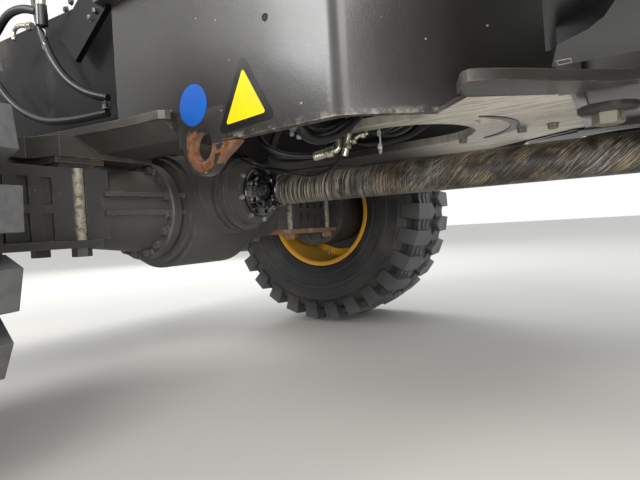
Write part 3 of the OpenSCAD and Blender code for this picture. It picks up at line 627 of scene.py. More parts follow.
webPaint = paintedMetal("webPaint", base="#0b0c0e", dark="#070809", rough=0.42, specular=0.16, dustUp=0.3,
                        speckShare=0.06, edge="#3c3a37", edgeReach=0.3, waves=3.0)
redCap = paintedMetal("redCap", base="#b3122a", dark="#8f0f22", rough=0.4, speckShare=0.05)
blackPaint = paintedMetal("blackPaint", base="#1d1e20", dark="#141517", rough=0.3, coat=0.5,
                          speckShare=0.08, edge="#5c5852", edgeReach=0.36)
boxPlastic = paintedMetal("boxPlastic", base="#111214", dark="#0d0e10", rough=0.34, coat=0.2,
                          speckShare=0.05, edge="#3c3c3c", edgeReach=0.3, waves=5.0)
hubPaint = paintedMetal("hubPaint", base="#3a3938", dark="#2b2a2a", rough=0.5, pits=0.4, bump=0.001,
                        dustPatches=0.5, dust="#6d6256")
bladePaint = paintedMetal("bladePaint", base="#4d4b47", dark="#3b3937", rough=0.5, dustPatches=0.5,
                          edge="#9a8a78", edgeWidth=0.007, edgeReach=0.56)
rimPaint = paintedMetal("rimPaint", base="#d9a01f", dark="#c28a17", rough=0.42, coat=0.2, dust="#8d7440",
                        dustPatches=0.4, edge="#5f4226", edgeReach=0.5, speck="#5d4020", speckShare=0.3)

metalLook = {"metal": 1.0, "stainScale": 22.0, "stainFrom": 0.52, "stainTo": 0.64, "stainRough": 0.75,
             "stainMetal": 0.1, "bump": 0.0003}


def bareMetal(name, **own):
    # Bare or plated steel: metal tone with stains and rust where the noise is high
    look = {**metalLook, **own}
    material, make, _, mix, link = newMaterial(name)
    place = make("TexCoord").outputs["Object"]
    mask = ranged(make, noise(make, place, look["stainScale"], 7.0, 0.68), look["stainFrom"], look["stainTo"])
    link("Base Color", mix(mask, colour(look["base"]), colour(look["stain"])))
    link("Roughness", ranged(make, mask, 0.0, 1.0, look["rough"], look["stainRough"]))
    link("Metallic", ranged(make, mask, 0.0, 1.0, look["metal"], look["stainMetal"]))
    bumped(make, link, useEffect(make, "brokenSurface", Grain=500.0, Waves=30.0, Pits=0.2), look["bump"])
    return material


ringSteel = bareMetal("ringSteel", base="#8d8c88", stain="#5a4f45", rough=0.35)
bareSteel = bareMetal("bareSteel", base="#a09c92", stain="#5e564c", rough=0.5, metal=0.55)
studSteel = bareMetal("studSteel", base="#a39d90", stain="#6b6459", rough=0.62, metal=0.25, stainScale=90.0,
                      stainFrom=0.5, stainTo=0.58)
rodChrome = bareMetal("rodChrome", base="#c9c9c9", stain="#8b8880", rough=0.12, stainFrom=0.62,
                      stainTo=0.75, stainMetal=0.8, stainRough=0.3)
zincFitting = bareMetal("zincFitting", base="#b6b3a6", stain="#4b4943", rough=0.3, metal=0.85,
                        stainScale=60.0, stainMetal=0.4, stainRough=0.6)
rustyPlate = bareMetal("rustyPlate", base="#7d6049", stain="#8a8073", rough=0.8, metal=0.05,
                       stainScale=16.0, stainMetal=0.0, bump=0.001)


def rubber(name, base, dust, rough, bump, specular=0.4, worn=None):
    # Rubber: dark tone, dust in clouds and where the piece's own worn attribute is high, fine pores
    material, make, calc, mix, link = newMaterial(name, Specular_IOR_Level=specular)
    place = make("TexCoord").outputs["Object"]
    cloud = noise(make, place, 7.0, 8.0, 0.66)
    tone = mix(ranged(make, cloud, 0.42, 0.75), colour(base), colour(dust))
    if worn:
        share = make("Attribute", None, attribute_name="worn").outputs["Fac"]
        scuff = ranged(make, noise(make, place, 38.0, 6.0, 0.7), 0.25, 0.6, 0.55, 1.0)
        tone = mix(calc("MULTIPLY", share, scuff), tone, colour(worn))
    link("Base Color", tone)
    link("Roughness", ranged(make, cloud, 0.3, 0.75, rough, rough + 0.2))
    bumped(make, link, useEffect(make, "brokenSurface", Grain=420.0, Waves=20.0, Pits=0.25), bump)
    return material


tyreRubber = rubber("tyreRubber", "#252729", "#433f3b", 0.42, 0.0006, worn="#5b5b5c")
hoseRubber = rubber("hoseRubber", "#101113", "#1f1f20", 0.32, 0.0003, specular=0.5)


def signVinyl(name, base, faded, dirt):
    # Printed film: an even tone with slight fading and fine dirt
    material, make, _, mix, link = newMaterial(name, Specular_IOR_Level=0.5, Coat_Weight=0.35,
                                               Coat_Roughness=0.2)
    place = make("TexCoord").outputs["Object"]
    fade = noise(make, place, 25.0, 5.0)
    specks = useEffect(make, "speckle", Scale=160.0, Size=0.09, Share=0.25)
    shade = mix(ranged(make, fade, 0.3, 0.7), colour(base), colour(faded))
    link("Base Color", mix(specks, shade, colour(dirt)))
    link("Roughness", ranged(make, fade, 0.3, 0.7, 0.3, 0.42))
    return material


def makeShaftPaint():
    # Black grease with dry mud streaks; a streak follows the turn round the axis plus x over a pitch
    material, make, calc, mix, link = newMaterial("shaftPaint", Specular_IOR_Level=0.5, Coat_Weight=0.15)
    place = make("TexCoord").outputs["Object"]
    x, y, z = make("SeparateXYZ", {0: place}).outputs
    turn = calc("ARCTAN2", calc("SUBTRACT", z, shaftZ), y)

    def streaks(pitch, reach, along, low, high):
        phase = calc("ADD", calc("DIVIDE", x, pitch), turn)
        spot = make("CombineXYZ", {0: calc("MULTIPLY", calc("COSINE", phase), reach),
                                   1: calc("MULTIPLY", calc("SINE", phase), reach),
                                   2: calc("MULTIPLY", x, along)}).outputs[0]
        return ranged(make, noise(make, spot, 1.0, 7.0, 0.72), low, high)

    steep = streaks(0.0075, 5.0, 30.0, 0.50, 0.62)
    slanted = streaks(0.046, 26.0, 26.0, 0.49, 0.61)
    ahead = ranged(make, x, rearX + 0.55, rearX + 1.05)
    lines = make("Mix", {0: ahead, 2: steep, 3: slanted}, data_type="FLOAT").outputs[0]
    patches = noise(make, place, 13.0, 4.0, 0.6)
    share = calc("MULTIPLY", lines, ranged(make, patches, 0.36, 0.58, 0.15, 1.0))
    hue = ranged(make, noise(make, place, 9.0, 2.0), 0.42, 0.58)
    mud = mix(hue, colour("#c8c1b2"), colour("#c6b192"))
    film = mix(ranged(make, patches, 0.35, 0.7), colour("#151412"), colour("#2c2925"))
    link("Base Color", mix(calc("MULTIPLY", share, 0.95), film, mud))
    link("Roughness", ranged(make, share, 0.0, 1.0, 0.36, 0.7))
    bumped(make, link, share, 0.0006)
    return material


shaftPaint = makeShaftPaint()
greasyBlack = paintedMetal("greasyBlack", base="#0d0e10", dark="#08090a", rough=0.2, coat=0.7,
                           dustPatches=0.0, dustUp=0.0, speckShare=0.22, speckScale=90.0, speck="#4d4f4e",
                           edge="#2f302f", edgeReach=0.3, waves=45.0, bump=0.0016)
greasySteel = bareMetal("greasySteel", base="#8e8f8c", stain="#1c1c1d", rough=0.25, stainScale=70.0,
                        stainFrom=0.42, stainTo=0.55, stainRough=0.3, stainMetal=0.3)
paleTie = bareMetal("paleTie", base="#a9aeb0", stain="#5d6062", rough=0.35, metal=0.1, stainScale=120.0,
                    stainMetal=0.0)
blueSign = signVinyl("blueSign", "#0a52a8", "#084a9a", "#8fa6bc")
yellowSign = signVinyl("yellowSign", "#d4b900", "#c8ac00", "#948430")
darkSign = signVinyl("darkSign", "#0e0f0c", "#0a0b08", "#2c2d28")

print("stage: materials")

# Tyres: a lathed carcass, separate lugs with drafted sides, and bars between them cut by sipes.
# The shares are parts of a pitch round the wheel, the rest are metres
tyreLook = {
    "lugs": 27, "topR": 0.5298, "shoulderR": 0.518, "baseR": 0.493, "flankR": 0.455, "footR": 0.437,
    "tipOut": 0.013, "midOut": 0.070, "flankOut": 0.199, "treadOut": 0.206, "heelOut": 0.208,
    "footOut": 0.2222,
    "lugShare": 0.28, "footShare": 0.30, "baseShare": 0.335,
    "barTop": 0.5085, "barFoot": 0.480, "barRows": [(0.043, 0.081), (0.085, 0.121), (0.125, 0.162)],
}
# Outer half of the carcass: radius and distance out from the wheel's middle plane
carcassProfile = [
    (0.2485, 0.1782), (0.2642, 0.1846), (0.2648, 0.1870), (0.2700, 0.1930), (0.2800, 0.1992),
    (0.2920, 0.2042), (0.2945, 0.2078), (0.2985, 0.2086), (0.3020, 0.2070), (0.3180, 0.2122),
    (0.3380, 0.2180), (0.3520, 0.2208), (0.3545, 0.2238), (0.3600, 0.2244), (0.3720, 0.2244),
    (0.3750, 0.2222), (0.3900, 0.2222), (0.4160, 0.2204), (0.4185, 0.2226), (0.4235, 0.2224),
    (0.4262, 0.2190), (0.4340, 0.2160), (0.4440, 0.2120), (0.4620, 0.2040), (0.4850, 0.1500),
    (0.5000, 0.0800), (0.5030, 0.0000)]


def aroundWheel(table, pitch, angle, outwards):
    # Columns of the table: share of a pitch round the wheel, radius, distance out
    t = np.asarray(table, float)
    a = angle + t[:, 0] * pitch
    return np.stack([t[:, 1] * np.cos(a), outwards * t[:, 2], t[:, 1] * np.sin(a)], -1)


def makeTyre(corner, place, look):
    # Each lug and bar is a table of points, laid round the wheel once a pitch and mirrored half a pitch
    # on
    pitch = 2 * pi / look["lugs"]
    w, f, b = look["lugShare"], look["footShare"], look["baseShare"]
    top, low, base, flank = look["topR"], look["shoulderR"], look["baseR"], (look["flankR"], look["flankOut"])
    tip, mid, tread = look["tipOut"], look["midOut"], look["treadOut"]
    foot, heel = (look["footR"], look["footOut"]), (look["footR"] - 0.012, look["heelOut"])
    lug = [(0, top, tip), (w, top, mid), (w, low, tread), (-w, low, tread), (-w, top, mid),
           (0, base, tip - 0.009), (b, base, mid - 0.003), (b, *flank), (f, *heel), (f, *foot), (-f, *foot),
           (-f, *heel), (-b, *flank), (-b, base, mid - 0.003)]
    lugFaces = [np.array(faces) for faces in (
        [[0, 1, 2, 3, 4]], [[5, 13, 12, 11, 8, 7, 6]],
        [[0, 1, 6, 5], [1, 2, 7, 6], [2, 3, 10, 9], [3, 4, 13, 12], [4, 0, 5, 13], [9, 10, 11, 8]],
        [[2, 9, 7], [9, 8, 7], [3, 12, 10], [10, 12, 11]])]
    lugWorn = [1, 1, 0.8, 0.8, 1, 0.2, 0.2, 0.1, 0, 0, 0, 0, 0.1, 0.2]
    barFaces = [np.array(faces) for faces in (
        [[0, 2, 4, 6, 8]], [[1, 3, 5, 7, 9]],
        [[0, 1, 3, 2], [2, 3, 5, 4], [4, 5, 7, 6], [6, 7, 9, 8], [8, 9, 1, 0]])]
    carcass = lathe(carcassProfile + [(r, -y) for r, y in carcassProfile[-2::-1]], (0, 0, 0), "y", 108)
    shapes = [carcass]
    worn = [np.interp(np.hypot(carcass[0][:, 0], carcass[0][:, 2]), [0.48, 0.505], [0.0, 0.35])]
    for half in (1, -1):
        for k in range(look["lugs"]):
            angle = -pi / 2 + pitch * (k + (0 if half > 0 else -0.5))
            shapes.append((aroundWheel(lug, pitch, angle, half), lugFaces, 0))
            worn.append(np.array(lugWorn))
            for y0, y1 in look["barRows"]:
                high, under = look["barTop"] - 0.10 * max(0, y1 - 0.10), look["barFoot"]
                section = ((w - 0.05, under), (w - 0.05, high + 0.004), (0.5, high - 0.002),
                           (1.05 - w, high + 0.004), (1.05 - w, under))
                bar = [(share, r, y) for share, r in section for y in (y0, y1)]
                shapes.append((aroundWheel(bar, pitch, angle, half), barFaces, 0))
                worn.append(np.full(len(bar), 0.45))
    makeNode("tyre_" + corner, stamped(shapes, [place]), [tyreRubber], "tyre", 0.0045, 28,
             {"worn": np.concatenate(worn)})


# Rims: a rolled barrel with rounded lips and a well, the disc, its weld beads and the valve
rimProfile = [
    (0.2385, -0.1790), (0.2410, -0.1862), (0.2460, -0.1905), (0.2555, -0.1926), (0.2612, -0.1924),
    (0.2628, -0.1900), (0.2624, -0.1868), (0.2580, -0.1832), (0.2480, -0.1790), (0.2480, 0.1790),
    (0.2580, 0.1832), (0.2624, 0.1868), (0.2628, 0.1900), (0.2612, 0.1924), (0.2555, 0.1926),
    (0.2460, 0.1905), (0.2410, 0.1862), (0.2385, 0.1790), (0.2385, 0.0960), (0.2340, 0.0900),
    (0.2340, -0.0300), (0.2385, -0.0380)]
discProfile = [(0.1410, 0.0600), (0.2350, 0.0600), (0.2350, 0.0760), (0.1410, 0.0760)]
valveProfile = [(0, 0), (0.0085, 0), (0.0085, 0.014), (0.0055, 0.016), (0.0055, 0.034), (0, 0.034)]
rimLook = {"valveAngle": -1.9, "valveR": 0.2345, "valveOut": 0.020, "beadR": 0.2335, "beadSize": 0.0058,
           "beadsOut": (0.0580, 0.0780), "beadRipples": 96}


def ringBead(centre, axis, radius, along, size, ripples):
    # A weld bead round a circle, whose radius swells and thins with the welder's ripples
    turns = 240
    t = np.linspace(0, 2 * pi, turns, endpoint=False)
    swell = size * (1 + 0.13 * np.sin(ripples * t) + 0.07 * np.sin(17 * t + 1.3))
    return sweepSection(lathe([(radius, along)], centre, axis, turns)[0], circleSection(6), swell, 0, True)


def makeRim(corner, place, look):
    # Profiles turned round the wheel's axis, and the valve, which points at it
    inwards = Vector((-cos(look["valveAngle"]), 0.0, -sin(look["valveAngle"])))
    seat = inwards * -look["valveR"] + Vector((0, look["valveOut"], 0))
    shapes = [lathe(rimProfile, (0, 0, 0), "y", 108), lathe(discProfile, (0, 0, 0), "y", 96)]
    shapes += [ringBead((0, 0, 0), "y", look["beadR"], out, look["beadSize"], look["beadRipples"])
               for out in look["beadsOut"]]
    shapes.append(moved(lathe(valveProfile, (0, 0, 0), "z", 14, 1, False), towards(seat, inwards)))
    makeNode("rim_" + corner, stamped(shapes, [place]), [rimPaint, zincFitting], "rim_paint", 0.0012, 32)


wheelPlaces = {"rear_left": (rearX, 1), "rear_right": (rearX, -1), "front_left": (frontX, 1),
               "front_right": (frontX, -1)}
for corner, (wheelX, side) in wheelPlaces.items():
    wheelPlace = Matrix.Translation((wheelX, side * wheelY, axleZ)) @ Matrix.Diagonal((1, side, 1, 1))
    makeTyre(corner, wheelPlace, tyreLook)
    makeRim(corner, wheelPlace, rimLook)
print("stage: wheels")

# Side walls: distances ahead of the rear axle, and the heights to which their lower edge rises at both ends
frameLook = {
    "wallRearX": 0.200, "wallRearY": 0.416, "wallTurn": atan2(0.0657, 0.630), "hangStartX": 0.412,
    "hangEndX": 0.985, "rearBottom": bellyZ + 0.038, "frontBottom": bellyZ + 0.016,
}


def wallSpot(ahead, z, side=-1):
    # A place on the outer face of a side wall, a distance ahead of the rear axle
    turn = frameLook["wallTurn"]
    y = frameLook["wallRearY"] + (ahead - frameLook["wallRearX"]) * sin(turn) / cos(turn)
    return Vector((rearX + ahead, side * y, z))


def onWall(shape, ahead, z, side=-1):
    # Stands a shape, drawn along x, outwards along y and up along z, on a side wall
    turn = Matrix.Rotation(frameLook["wallTurn"], 4, "Z")
    place = Matrix.Diagonal((1, side, 1, 1)) @ Matrix.Translation(wallSpot(ahead, z, 1)) @ turn
    return moved(shape, place)


def weldRun(points, size):
    # A weld along a line of points: a tube whose radius ripples every 7.5 mm
    even, path = evenly(points, lambda length: max(8, int(length / 0.0025)))
    swell = size * (1 + 0.16 * np.sin(even * 2 * pi / 0.0075) + 0.08 * np.sin(even * 61 + 1))
    return tube(path, swell, 6)


def dressWalls(look):
    # The side walls hang below the belly only between the rear flange and the start of the front faces
    mesh = cleanCopy("centre_box")
    start, end = rearX + look["hangStartX"], rearX + look["hangEndX"]
    work = bmesh.new()
    work.from_mesh(mesh)
    for cut in (start, start + 0.026, end, end + 0.045):
        everything = work.verts[:] + work.edges[:] + work.faces[:]
        bmesh.ops.bisect_plane(work, geom=everything, plane_co=(cut, 0, 0), plane_no=(1, 0, 0))
    for vert in work.verts:
        if vert.co.z < bellyZ + 0.002 and vert.co.x > end + 0.04:
            vert.co.z = look["frontBottom"]
        if vert.co.z < look["rearBottom"] and vert.co.x < start + 0.001:
            vert.co.z = look["rearBottom"]
    work.to_mesh(mesh)
    work.free()
    finishNode("centre_box", mesh, [wallPaint], "frame_paint", 0.0035)


# Front arm: the girder from the side by distance ahead of the rear axle, and its trunnion bearings, each
# with its distance ahead of the front axle, radius and bore
frontArmLook = {
    "start": 1.207, "underRear": 2.040, "archRear": 2.170, "end": 2.980, "arch": axleZ + 0.290,
    "half": 0.230, "flangeThick": 0.020, "flangeLift": 0.016, "beadSize": 0.0055,
    "bearings": [(-0.360, 0.150, 0.1001), (0.300, 0.110, 0.0451)],
}
# The flange from above: distance ahead of the rear axle and from the middle
flangePlan = [
    (1.168, 0.2495), (1.018, 0.3545), (1.040, 0.4120), (1.047, 0.4230), (1.058, 0.4290), (1.071, 0.4260),
    (1.124, 0.3900), (1.200, 0.3280), (1.260, 0.2850), (1.310, 0.2660), (1.400, 0.2580), (2.040, 0.2560),
    (2.040, 0.2300), (1.168, 0.2300)]


def makeFrontArm(look):
    # The flange rises a little towards its rear end
    start, underRear, arch = look["start"], look["underRear"], look["arch"]
    side = [(start, bellyZ + 0.025), (underRear, bellyZ + 0.025), (look["archRear"], arch),
            (look["end"], arch), (look["end"], topZ - 0.060), (2.100, topZ - 0.040), (start, topZ - 0.022)]
    shapes = [extruded([(rearX + x, z) for x, z in side], -look["half"], look["half"], "y")]
    top = bellyZ + look["flangeThick"]
    lift = top + look["flangeLift"]
    for mirror in (1, -1):
        points, faces, finish = extruded(plan(flangePlan, mirror), bellyZ, top)
        points[:, 2] += np.interp(points[:, 0] - rearX, [1.06, 1.50], [look["flangeLift"], 0.0])
        shapes.append((points, faces, finish))
        for run in ([(1.034, 0.3475, lift), (1.170, 0.2525, lift)],
                    [(1.215, 0.2315, lift - 0.005), (2.030, 0.2315, lift - 0.013)]):
            shapes.append(weldRun([at(x, mirror * y, z) for x, y, z in run], look["beadSize"]))
    for ahead, radius, bore in look["bearings"]:
        x = frontX + ahead
        ring = [(bore, 0.0), (radius - 0.004, 0.0), (radius, 0.004), (radius, 0.056), (radius - 0.004, 0.060),
                (bore, 0.060)]
        shapes.append(lathe(ring, (x, 0, shaftZ), "x"))
        edge = sqrt(radius * radius - 0.04 * 0.04)
        for y0, y1 in ((-radius, -bore - 0.004), (bore + 0.004, radius)):
            shapes.append(block((x + 0.002, y0, shaftZ), (x + 0.058, y1, arch + 0.002)))
        shapes.append(block((x + 0.003, -bore - 0.006, shaftZ + edge * 0.92),
                            (x + 0.057, bore + 0.006, arch + 0.002)))
        shapes.append(weldRun([(x, -radius, arch), (x, radius, arch)], 0.006))
    makeNode("front_arm", shapes, [framePaint], "frame_paint", 0.003)


# Lashing eyes: outline as radius over angle from the hole's middle, with the flare towards the front
eyeLook = {"ahead": 0.500, "drop": 0.015, "holeR": 0.032, "ringR": 0.062, "top": 0.064, "thick": 0.0220,
           "proud": 0.0006, "flareFrom": -0.72, "flareTo": 0.028, "flareReach": 0.050}


def eyeRadius(angle, grow=0.0):
    # Square above the middle, round below it, and drawn out along the wall's edge to the flare's tip
    c, s = np.cos(angle), np.sin(angle)
    half, top = eyeLook["ringR"] + grow, eyeLook["top"] + grow
    square = np.minimum(half / np.maximum(np.abs(c), 1e-6), top / np.maximum(s, 1e-6))
    radius = np.where(s > 0.0447, square, eyeLook["ringR"])
    low = angle - 2 * pi * (angle > pi)
    first, last = eyeLook["flareFrom"], eyeLook["flareTo"]
    t = np.clip((low - first) / (last - first), 0, 1)
    return np.where((low > first) & (low < last), eyeLook["ringR"] + eyeLook["flareReach"] * t ** 2.2, radius)


def ringLattice(angle, rings):
    # Points at a radius and a distance out for each angle, one column per ring
    return np.stack([np.stack([r * np.cos(angle), np.full(len(angle), w), r * np.sin(angle)], -1)
                     for r, w in rings], 1).reshape(-1, 3)


def makeEye(side, look):
    # The plate is a grid of angle by ring: point = (r cos t, distance out, r sin t)
    count = 160
    angle = np.linspace(0, 2 * pi, count, endpoint=False)
    outer, hole = eyeRadius(angle), np.full(count, look["holeR"])
    proud, back, span = look["proud"], -look["thick"], outer - look["holeR"]
    # Rings across the section, from the hole's back edge round to the outer back edge
    rings = [(hole, back), (hole, proud - 0.004), (hole + 0.0012, proud - 0.0012), (hole + 0.004, proud),
             (hole + span * 0.4, proud), (hole + span * 0.72, proud), (outer - 0.0035, proud),
             (outer - 0.001, proud - 0.001), (outer, proud - 0.0035), (outer, back)]
    plate = (ringLattice(angle, rings), gridFaces(count, len(rings), True, True), 0)
    # A skin of filler over the upper joint with the wall
    edge = eyeRadius(angle, 0.012)
    keep = np.sin(angle) * edge > 0.0045
    hole, edge = hole[keep], edge[keep]
    skin = [(hole + 0.010, 0.0002), (hole + 0.012, 0.0008), (edge - 0.014, 0.0008), (edge, 0.0001)]
    cover = slices(ringLattice(angle[keep], skin).reshape(len(edge), len(skin), 3))
    rust = []
    for p, _, _ in (plate, cover):
        r = np.hypot(p[:, 0], p[:, 2])
        a = np.degrees(np.arctan2(p[:, 2], p[:, 0])) % 360
        share = np.interp(a, [0, 15, 60, 110, 135, 300, 330, 345, 360],
                          [0.5, 0.15, 0.1, 0.5, 1, 1, 0.75, 0.7, 0.5])
        reach = np.interp(a, [0, 90, 180, 225, 270, 315, 360],
                          [0.020, 0.012, 0.020, 0.022, 0.028, 0.03, 0.02])
        ringShare = np.clip(1.25 - (r - look["holeR"]) / reach, 0, 1)
        flare = ((a > 318) | (a < 6)) * np.clip((r - 0.058) / 0.008, 0, 1)
        rust.append(np.clip(share * ringShare + 0.9 * flare, 0, 1))
    return [onWall(shape, look["ahead"], bellyZ - look["drop"], side) for shape in (plate, cover)], rust


def makeEyes(look):
    # Both eyes as one piece, with their rust as an attribute
    shapes, rust = [], []
    for side in (1, -1):
        made, masks = makeEye(side, look)
        shapes += made
        rust += masks
    makeNode("lashing_eyes", shapes, [eyePaint], "rusty_eye", 0.0, 40, {"rust": np.concatenate(rust)})


# Blank signs on the right side wall: a blue disc, and a yellow triangle with a dark border
signLook = {"disc": (0.4826, 0.7255, 0.0440), "thick": 0.0006, "origin": (0.634, 0.700), "cornerR": 0.009,
            "corners": [(0.6342, 0.7990), (0.5545, 0.6510), (0.7130, 0.6600)], "fieldInset": 0.0145,
            "fieldCornerR": 0.004}


def roundedCorners(corners, radius, inset=0.0):
    # A polygon moved in by the inset, with each corner turned on an arc
    p = np.asarray(corners, float)
    t = np.linspace(0, 1, 6)[:, None]
    out = []
    for before, corner, after in zip(np.roll(p, 1, 0), p, np.roll(p, -1, 0)):
        a = (before - corner) / np.linalg.norm(before - corner)
        b = (after - corner) / np.linalg.norm(after - corner)
        half = np.arccos(np.clip(a.dot(b), -1, 1)) / 2
        centre = corner + (a + b) / np.linalg.norm(a + b) * (inset + radius) / np.sin(half)
        start, end = [n * np.sign((corner - centre).dot(n)) for n in (np.array([-a[1], a[0]]),
                                                                     np.array([b[1], -b[0]]))]
        ray = start * (1 - t) + end * t
        out.append(centre + radius * ray / np.linalg.norm(ray, axis=1)[:, None])
    return np.vstack(out)


def makeSigns(look):
    # Thin plates on the wall: a circle, and a triangle inside a triangle, both with round corners
    ahead, z, radius = look["disc"]
    thick, thin = look["thick"], look["thick"] * 0.6
    disc = extruded(circleSection(64) * radius, 0.0007, 0.0007 + thick, "y")
    makePiece("signDisc", [onWall(disc, ahead, z)], [blueSign], bodyOf("centre_box"), "frame_paint",
              smooth=40)
    x0, z0 = look["origin"]
    corners = [((x - x0) / cos(frameLook["wallTurn"]), z - z0) for x, z in look["corners"]]
    border = extruded(roundedCorners(corners, look["cornerR"]), 0.0002, 0.0002 + thick, "y")
    field = extruded(roundedCorners(corners, look["fieldCornerR"], look["fieldInset"]), 0.0002 + thin,
                     0.0002 + 2 * thin, "y", 1)
    makePiece("signTriangle", [onWall(plate, x0, z0) for plate in (border, field)], [darkSign, yellowSign],
              bodyOf("centre_box"), "frame_paint", smooth=40)


dressWalls(frameLook)
makeFrontArm(frontArmLook)
makeEyes(eyeLook)
makeSigns(signLook)
print("stage: frame plates")

# Rear arms: webs, one flange each along the photographed edge, and the saddles with their stepped pads
rearArmLook = {"webIn": 0.250, "webOut": 0.375, "webSwell": 0.021, "flangeLow": 0.705, "flangeThick": 0.019,
               "back": -0.620, "saddleLow": 0.655, "padLow": 0.627, "beadSize": 0.006}
flangeInner = [(-0.620, 0.238), (0.199, 0.238), (0.199, 0.397), (0.222, 0.4175)]
saddlePlan = [
    (0.122, 0.251), (0.122, 0.525), (0.040, 0.560), (0.040, 0.680), (0.118, 0.708), (0.118, 0.812),
    (-0.118, 0.812), (-0.118, 0.708), (-0.040, 0.680), (-0.040, 0.560), (-0.122, 0.525), (-0.122, 0.251)]
rearFlangeEdge = [
    (0.413, 0.440), (0.419, 0.452), (0.417, 0.466), (0.404, 0.475), (0.370, 0.475), (0.320, 0.473),
    (0.270, 0.476), (0.218, 0.481), (0.160, 0.486), (0.097, 0.490), (0.030, 0.496), (-0.043, 0.502),
    (-0.132, 0.512), (-0.260, 0.522), (-0.430, 0.528), (-0.620, 0.530)]


def webFace(look, x):
    # The web's outer face swells by the square of the distance towards the wall
    return look["webOut"] + look["webSwell"] * max(0.0, (x - 0.040) / 0.160) ** 2


def makeRearArms(look):
    # Webs and wedges join sections from place to place, flanges and saddles stand on plans
    low, back, inner, size = look["flangeLow"], look["back"], look["webIn"], look["beadSize"]
    top = low + look["flangeThick"]
    shapes = []
    for mirror in (1, -1):
        rings = []
        for x in (back, -0.400, -0.200, 0.040, 0.062, 0.084, 0.106, 0.128, 0.150, 0.165, 0.199):
            high = np.interp(x, [back, -0.400, 0.150, 0.165], [0.990, 1.089, 1.089, topZ - 0.024])
            out = webFace(look, x)
            section = ((inner, top - 0.001), (out, top - 0.001), (out, high), (inner, high))
            rings.append([at(x, mirror * y, z) for y, z in section])
        shapes.append(slices(rings, 1))
        shapes.append(extruded(plan(flangeInner + rearFlangeEdge, mirror), low, top))
        shapes.append(weldRun([at(x, mirror * (webFace(look, x) + 0.002), top)
                               for x in np.linspace(back + 0.02, 0.180, 26)], size))
        shapes.append(weldRun([at(0.226, mirror * 0.4195, top), at(0.410, mirror * 0.4385, top)], size))
        shapes.append(extruded(plan(saddlePlan, mirror), look["saddleLow"], low + 0.001))
        wedge = [[at(x, mirror * y, z) for y, z in ((out, low + 0.001), (0.415, 0.668), (0.300, 0.6625),
                                                   (0.300, low + 0.001))]
                 for x, out in ((0.020, 0.484), (0.160, 0.478), (0.300, 0.468), (0.408, 0.462))]
        shapes.append(slices(wedge))
        for padIn in (0.399, 0.683):
            for inset, drop in ((0.0, 0.014), (0.016, 0.0)):
                y0, y1 = sorted((mirror * (padIn + inset), mirror * (padIn + 0.130 - inset)))
                shapes.append(block(at(-0.110 + inset, y0, look["padLow"] + drop),
                                    at(0.110 - inset, y1, look["saddleLow"] + 0.001)))
    shapes.append(block(at(back, -0.251, 0.744), at(back + 0.060, 0.251, 0.925)))
    makeNode("rear_arms", shapes, [armPaint, webPaint], "frame_paint", 0.003)


makeRearArms(rearArmLook)

# Side boxes: a moulded body on a set-in skirt, with a recessed handle at the rear end
boxLook = {"back": 1.176, "front": 1.764, "inner": 0.481, "outer": 0.893, "low": 0.672, "top": 1.079,
           "skirtLow": 0.648, "corner": 0.110, "slant": 0.100}
# The skirt's edge in plan: distance ahead of the rear axle and from the middle
skirtPlan = [
    (1.183, 0.484), (1.199, 0.580), (1.232, 0.610), (1.249, 0.640), (1.262, 0.690), (1.300, 0.740),
    (1.400, 0.790), (1.560, 0.800), (1.700, 0.790), (1.745, 0.740), (1.757, 0.484)]
handlePlan = [(1.192, 0.492), (1.208, 0.492), (1.208, 0.512), (1.192, 0.512)]


def boxOutline(look):
    # The body from the front: its lower outer edge turned on an arc, its upper one cut off
    r, inner, outer, low, top = [look[key] for key in ("corner", "inner", "outer", "low", "top")]
    arc = [(outer - r + r * cos(a), low + r + r * sin(a)) for a in np.linspace(-pi / 2, 0, 9)]
    return [(inner, low), *arc, (outer, top - 0.080), (outer - 0.060, top), (inner, top)]


def makeToolboxes(look):
    # The body's rear end slants ahead by a share of the distance outwards
    start, end, top = rearX + look["back"], rearX + look["front"], look["top"]
    for side, mirror in (("left", 1), ("right", -1)):
        outline = [(mirror * y, z) for y, z in boxOutline(look)]
        points, faces, finish = extruded(outline, start, end, "x")
        points[:, 0] += np.where(points[:, 0] < start + 0.1,
                                 (np.abs(points[:, 1]) - look["inner"]) * look["slant"], 0.0)
        shapes = [(points, faces, finish),
                  extruded(plan(skirtPlan, mirror), look["skirtLow"], look["low"] + 0.020)]
        rib, lid = mirror * 0.860, mirror * 0.690
        for x in (start + 0.150, start + 0.300, start + 0.450):
            shapes.append(block((x - 0.012, rib - 0.038, 0.820), (x + 0.012, rib + 0.038, 0.990)))
        shapes.append(block((start + 0.060, lid - 0.150, top - 0.004),
                            (end - 0.030, lid + 0.120, top + 0.010)))
        handle = [(*spot, look["skirtLow"] + 0.0002) for spot in plan(handlePlan, mirror)]
        shapes.append(tube(handle, 0.0014, 8, 1, True))
        makeNode("toolbox_" + side, shapes, [boxPlastic, bareSteel], "box_plastic", 0.010, 32, segments=3)


makeToolboxes(boxLook)

# Rear axle: for each ring of bolts its radius, count, distance along the axle and first angle
axleLook = {
    "jointY": 0.188, "jointBolts": (0.131, 16, 0.018, 0.12), "jointHead": (0.022, 0.015),
    "brakeY": 0.8148, "brakeBolts": (0.128, 12, 0.0, 0.3), "brakeHead": (0.020, 0.013),
    "noseX": 0.298, "noseBolts": (0.084, 8, 0.0, 0.2), "noseHead": (0.013, 0.008),
    "ridges": ((0.096, 0.107), (0.146, 0.155)), "breather": (141, 157, -0.190),
}
jointRing = [
    (0.098, -0.018), (0.144, -0.018), (0.148, -0.014), (0.148, 0.014), (0.144, 0.018), (0.098, 0.018)]
breatherCap = [(0, -0.006), (0.011, -0.006), (0.0115, 0.004), (0.007, 0.0075), (0, 0.008)]


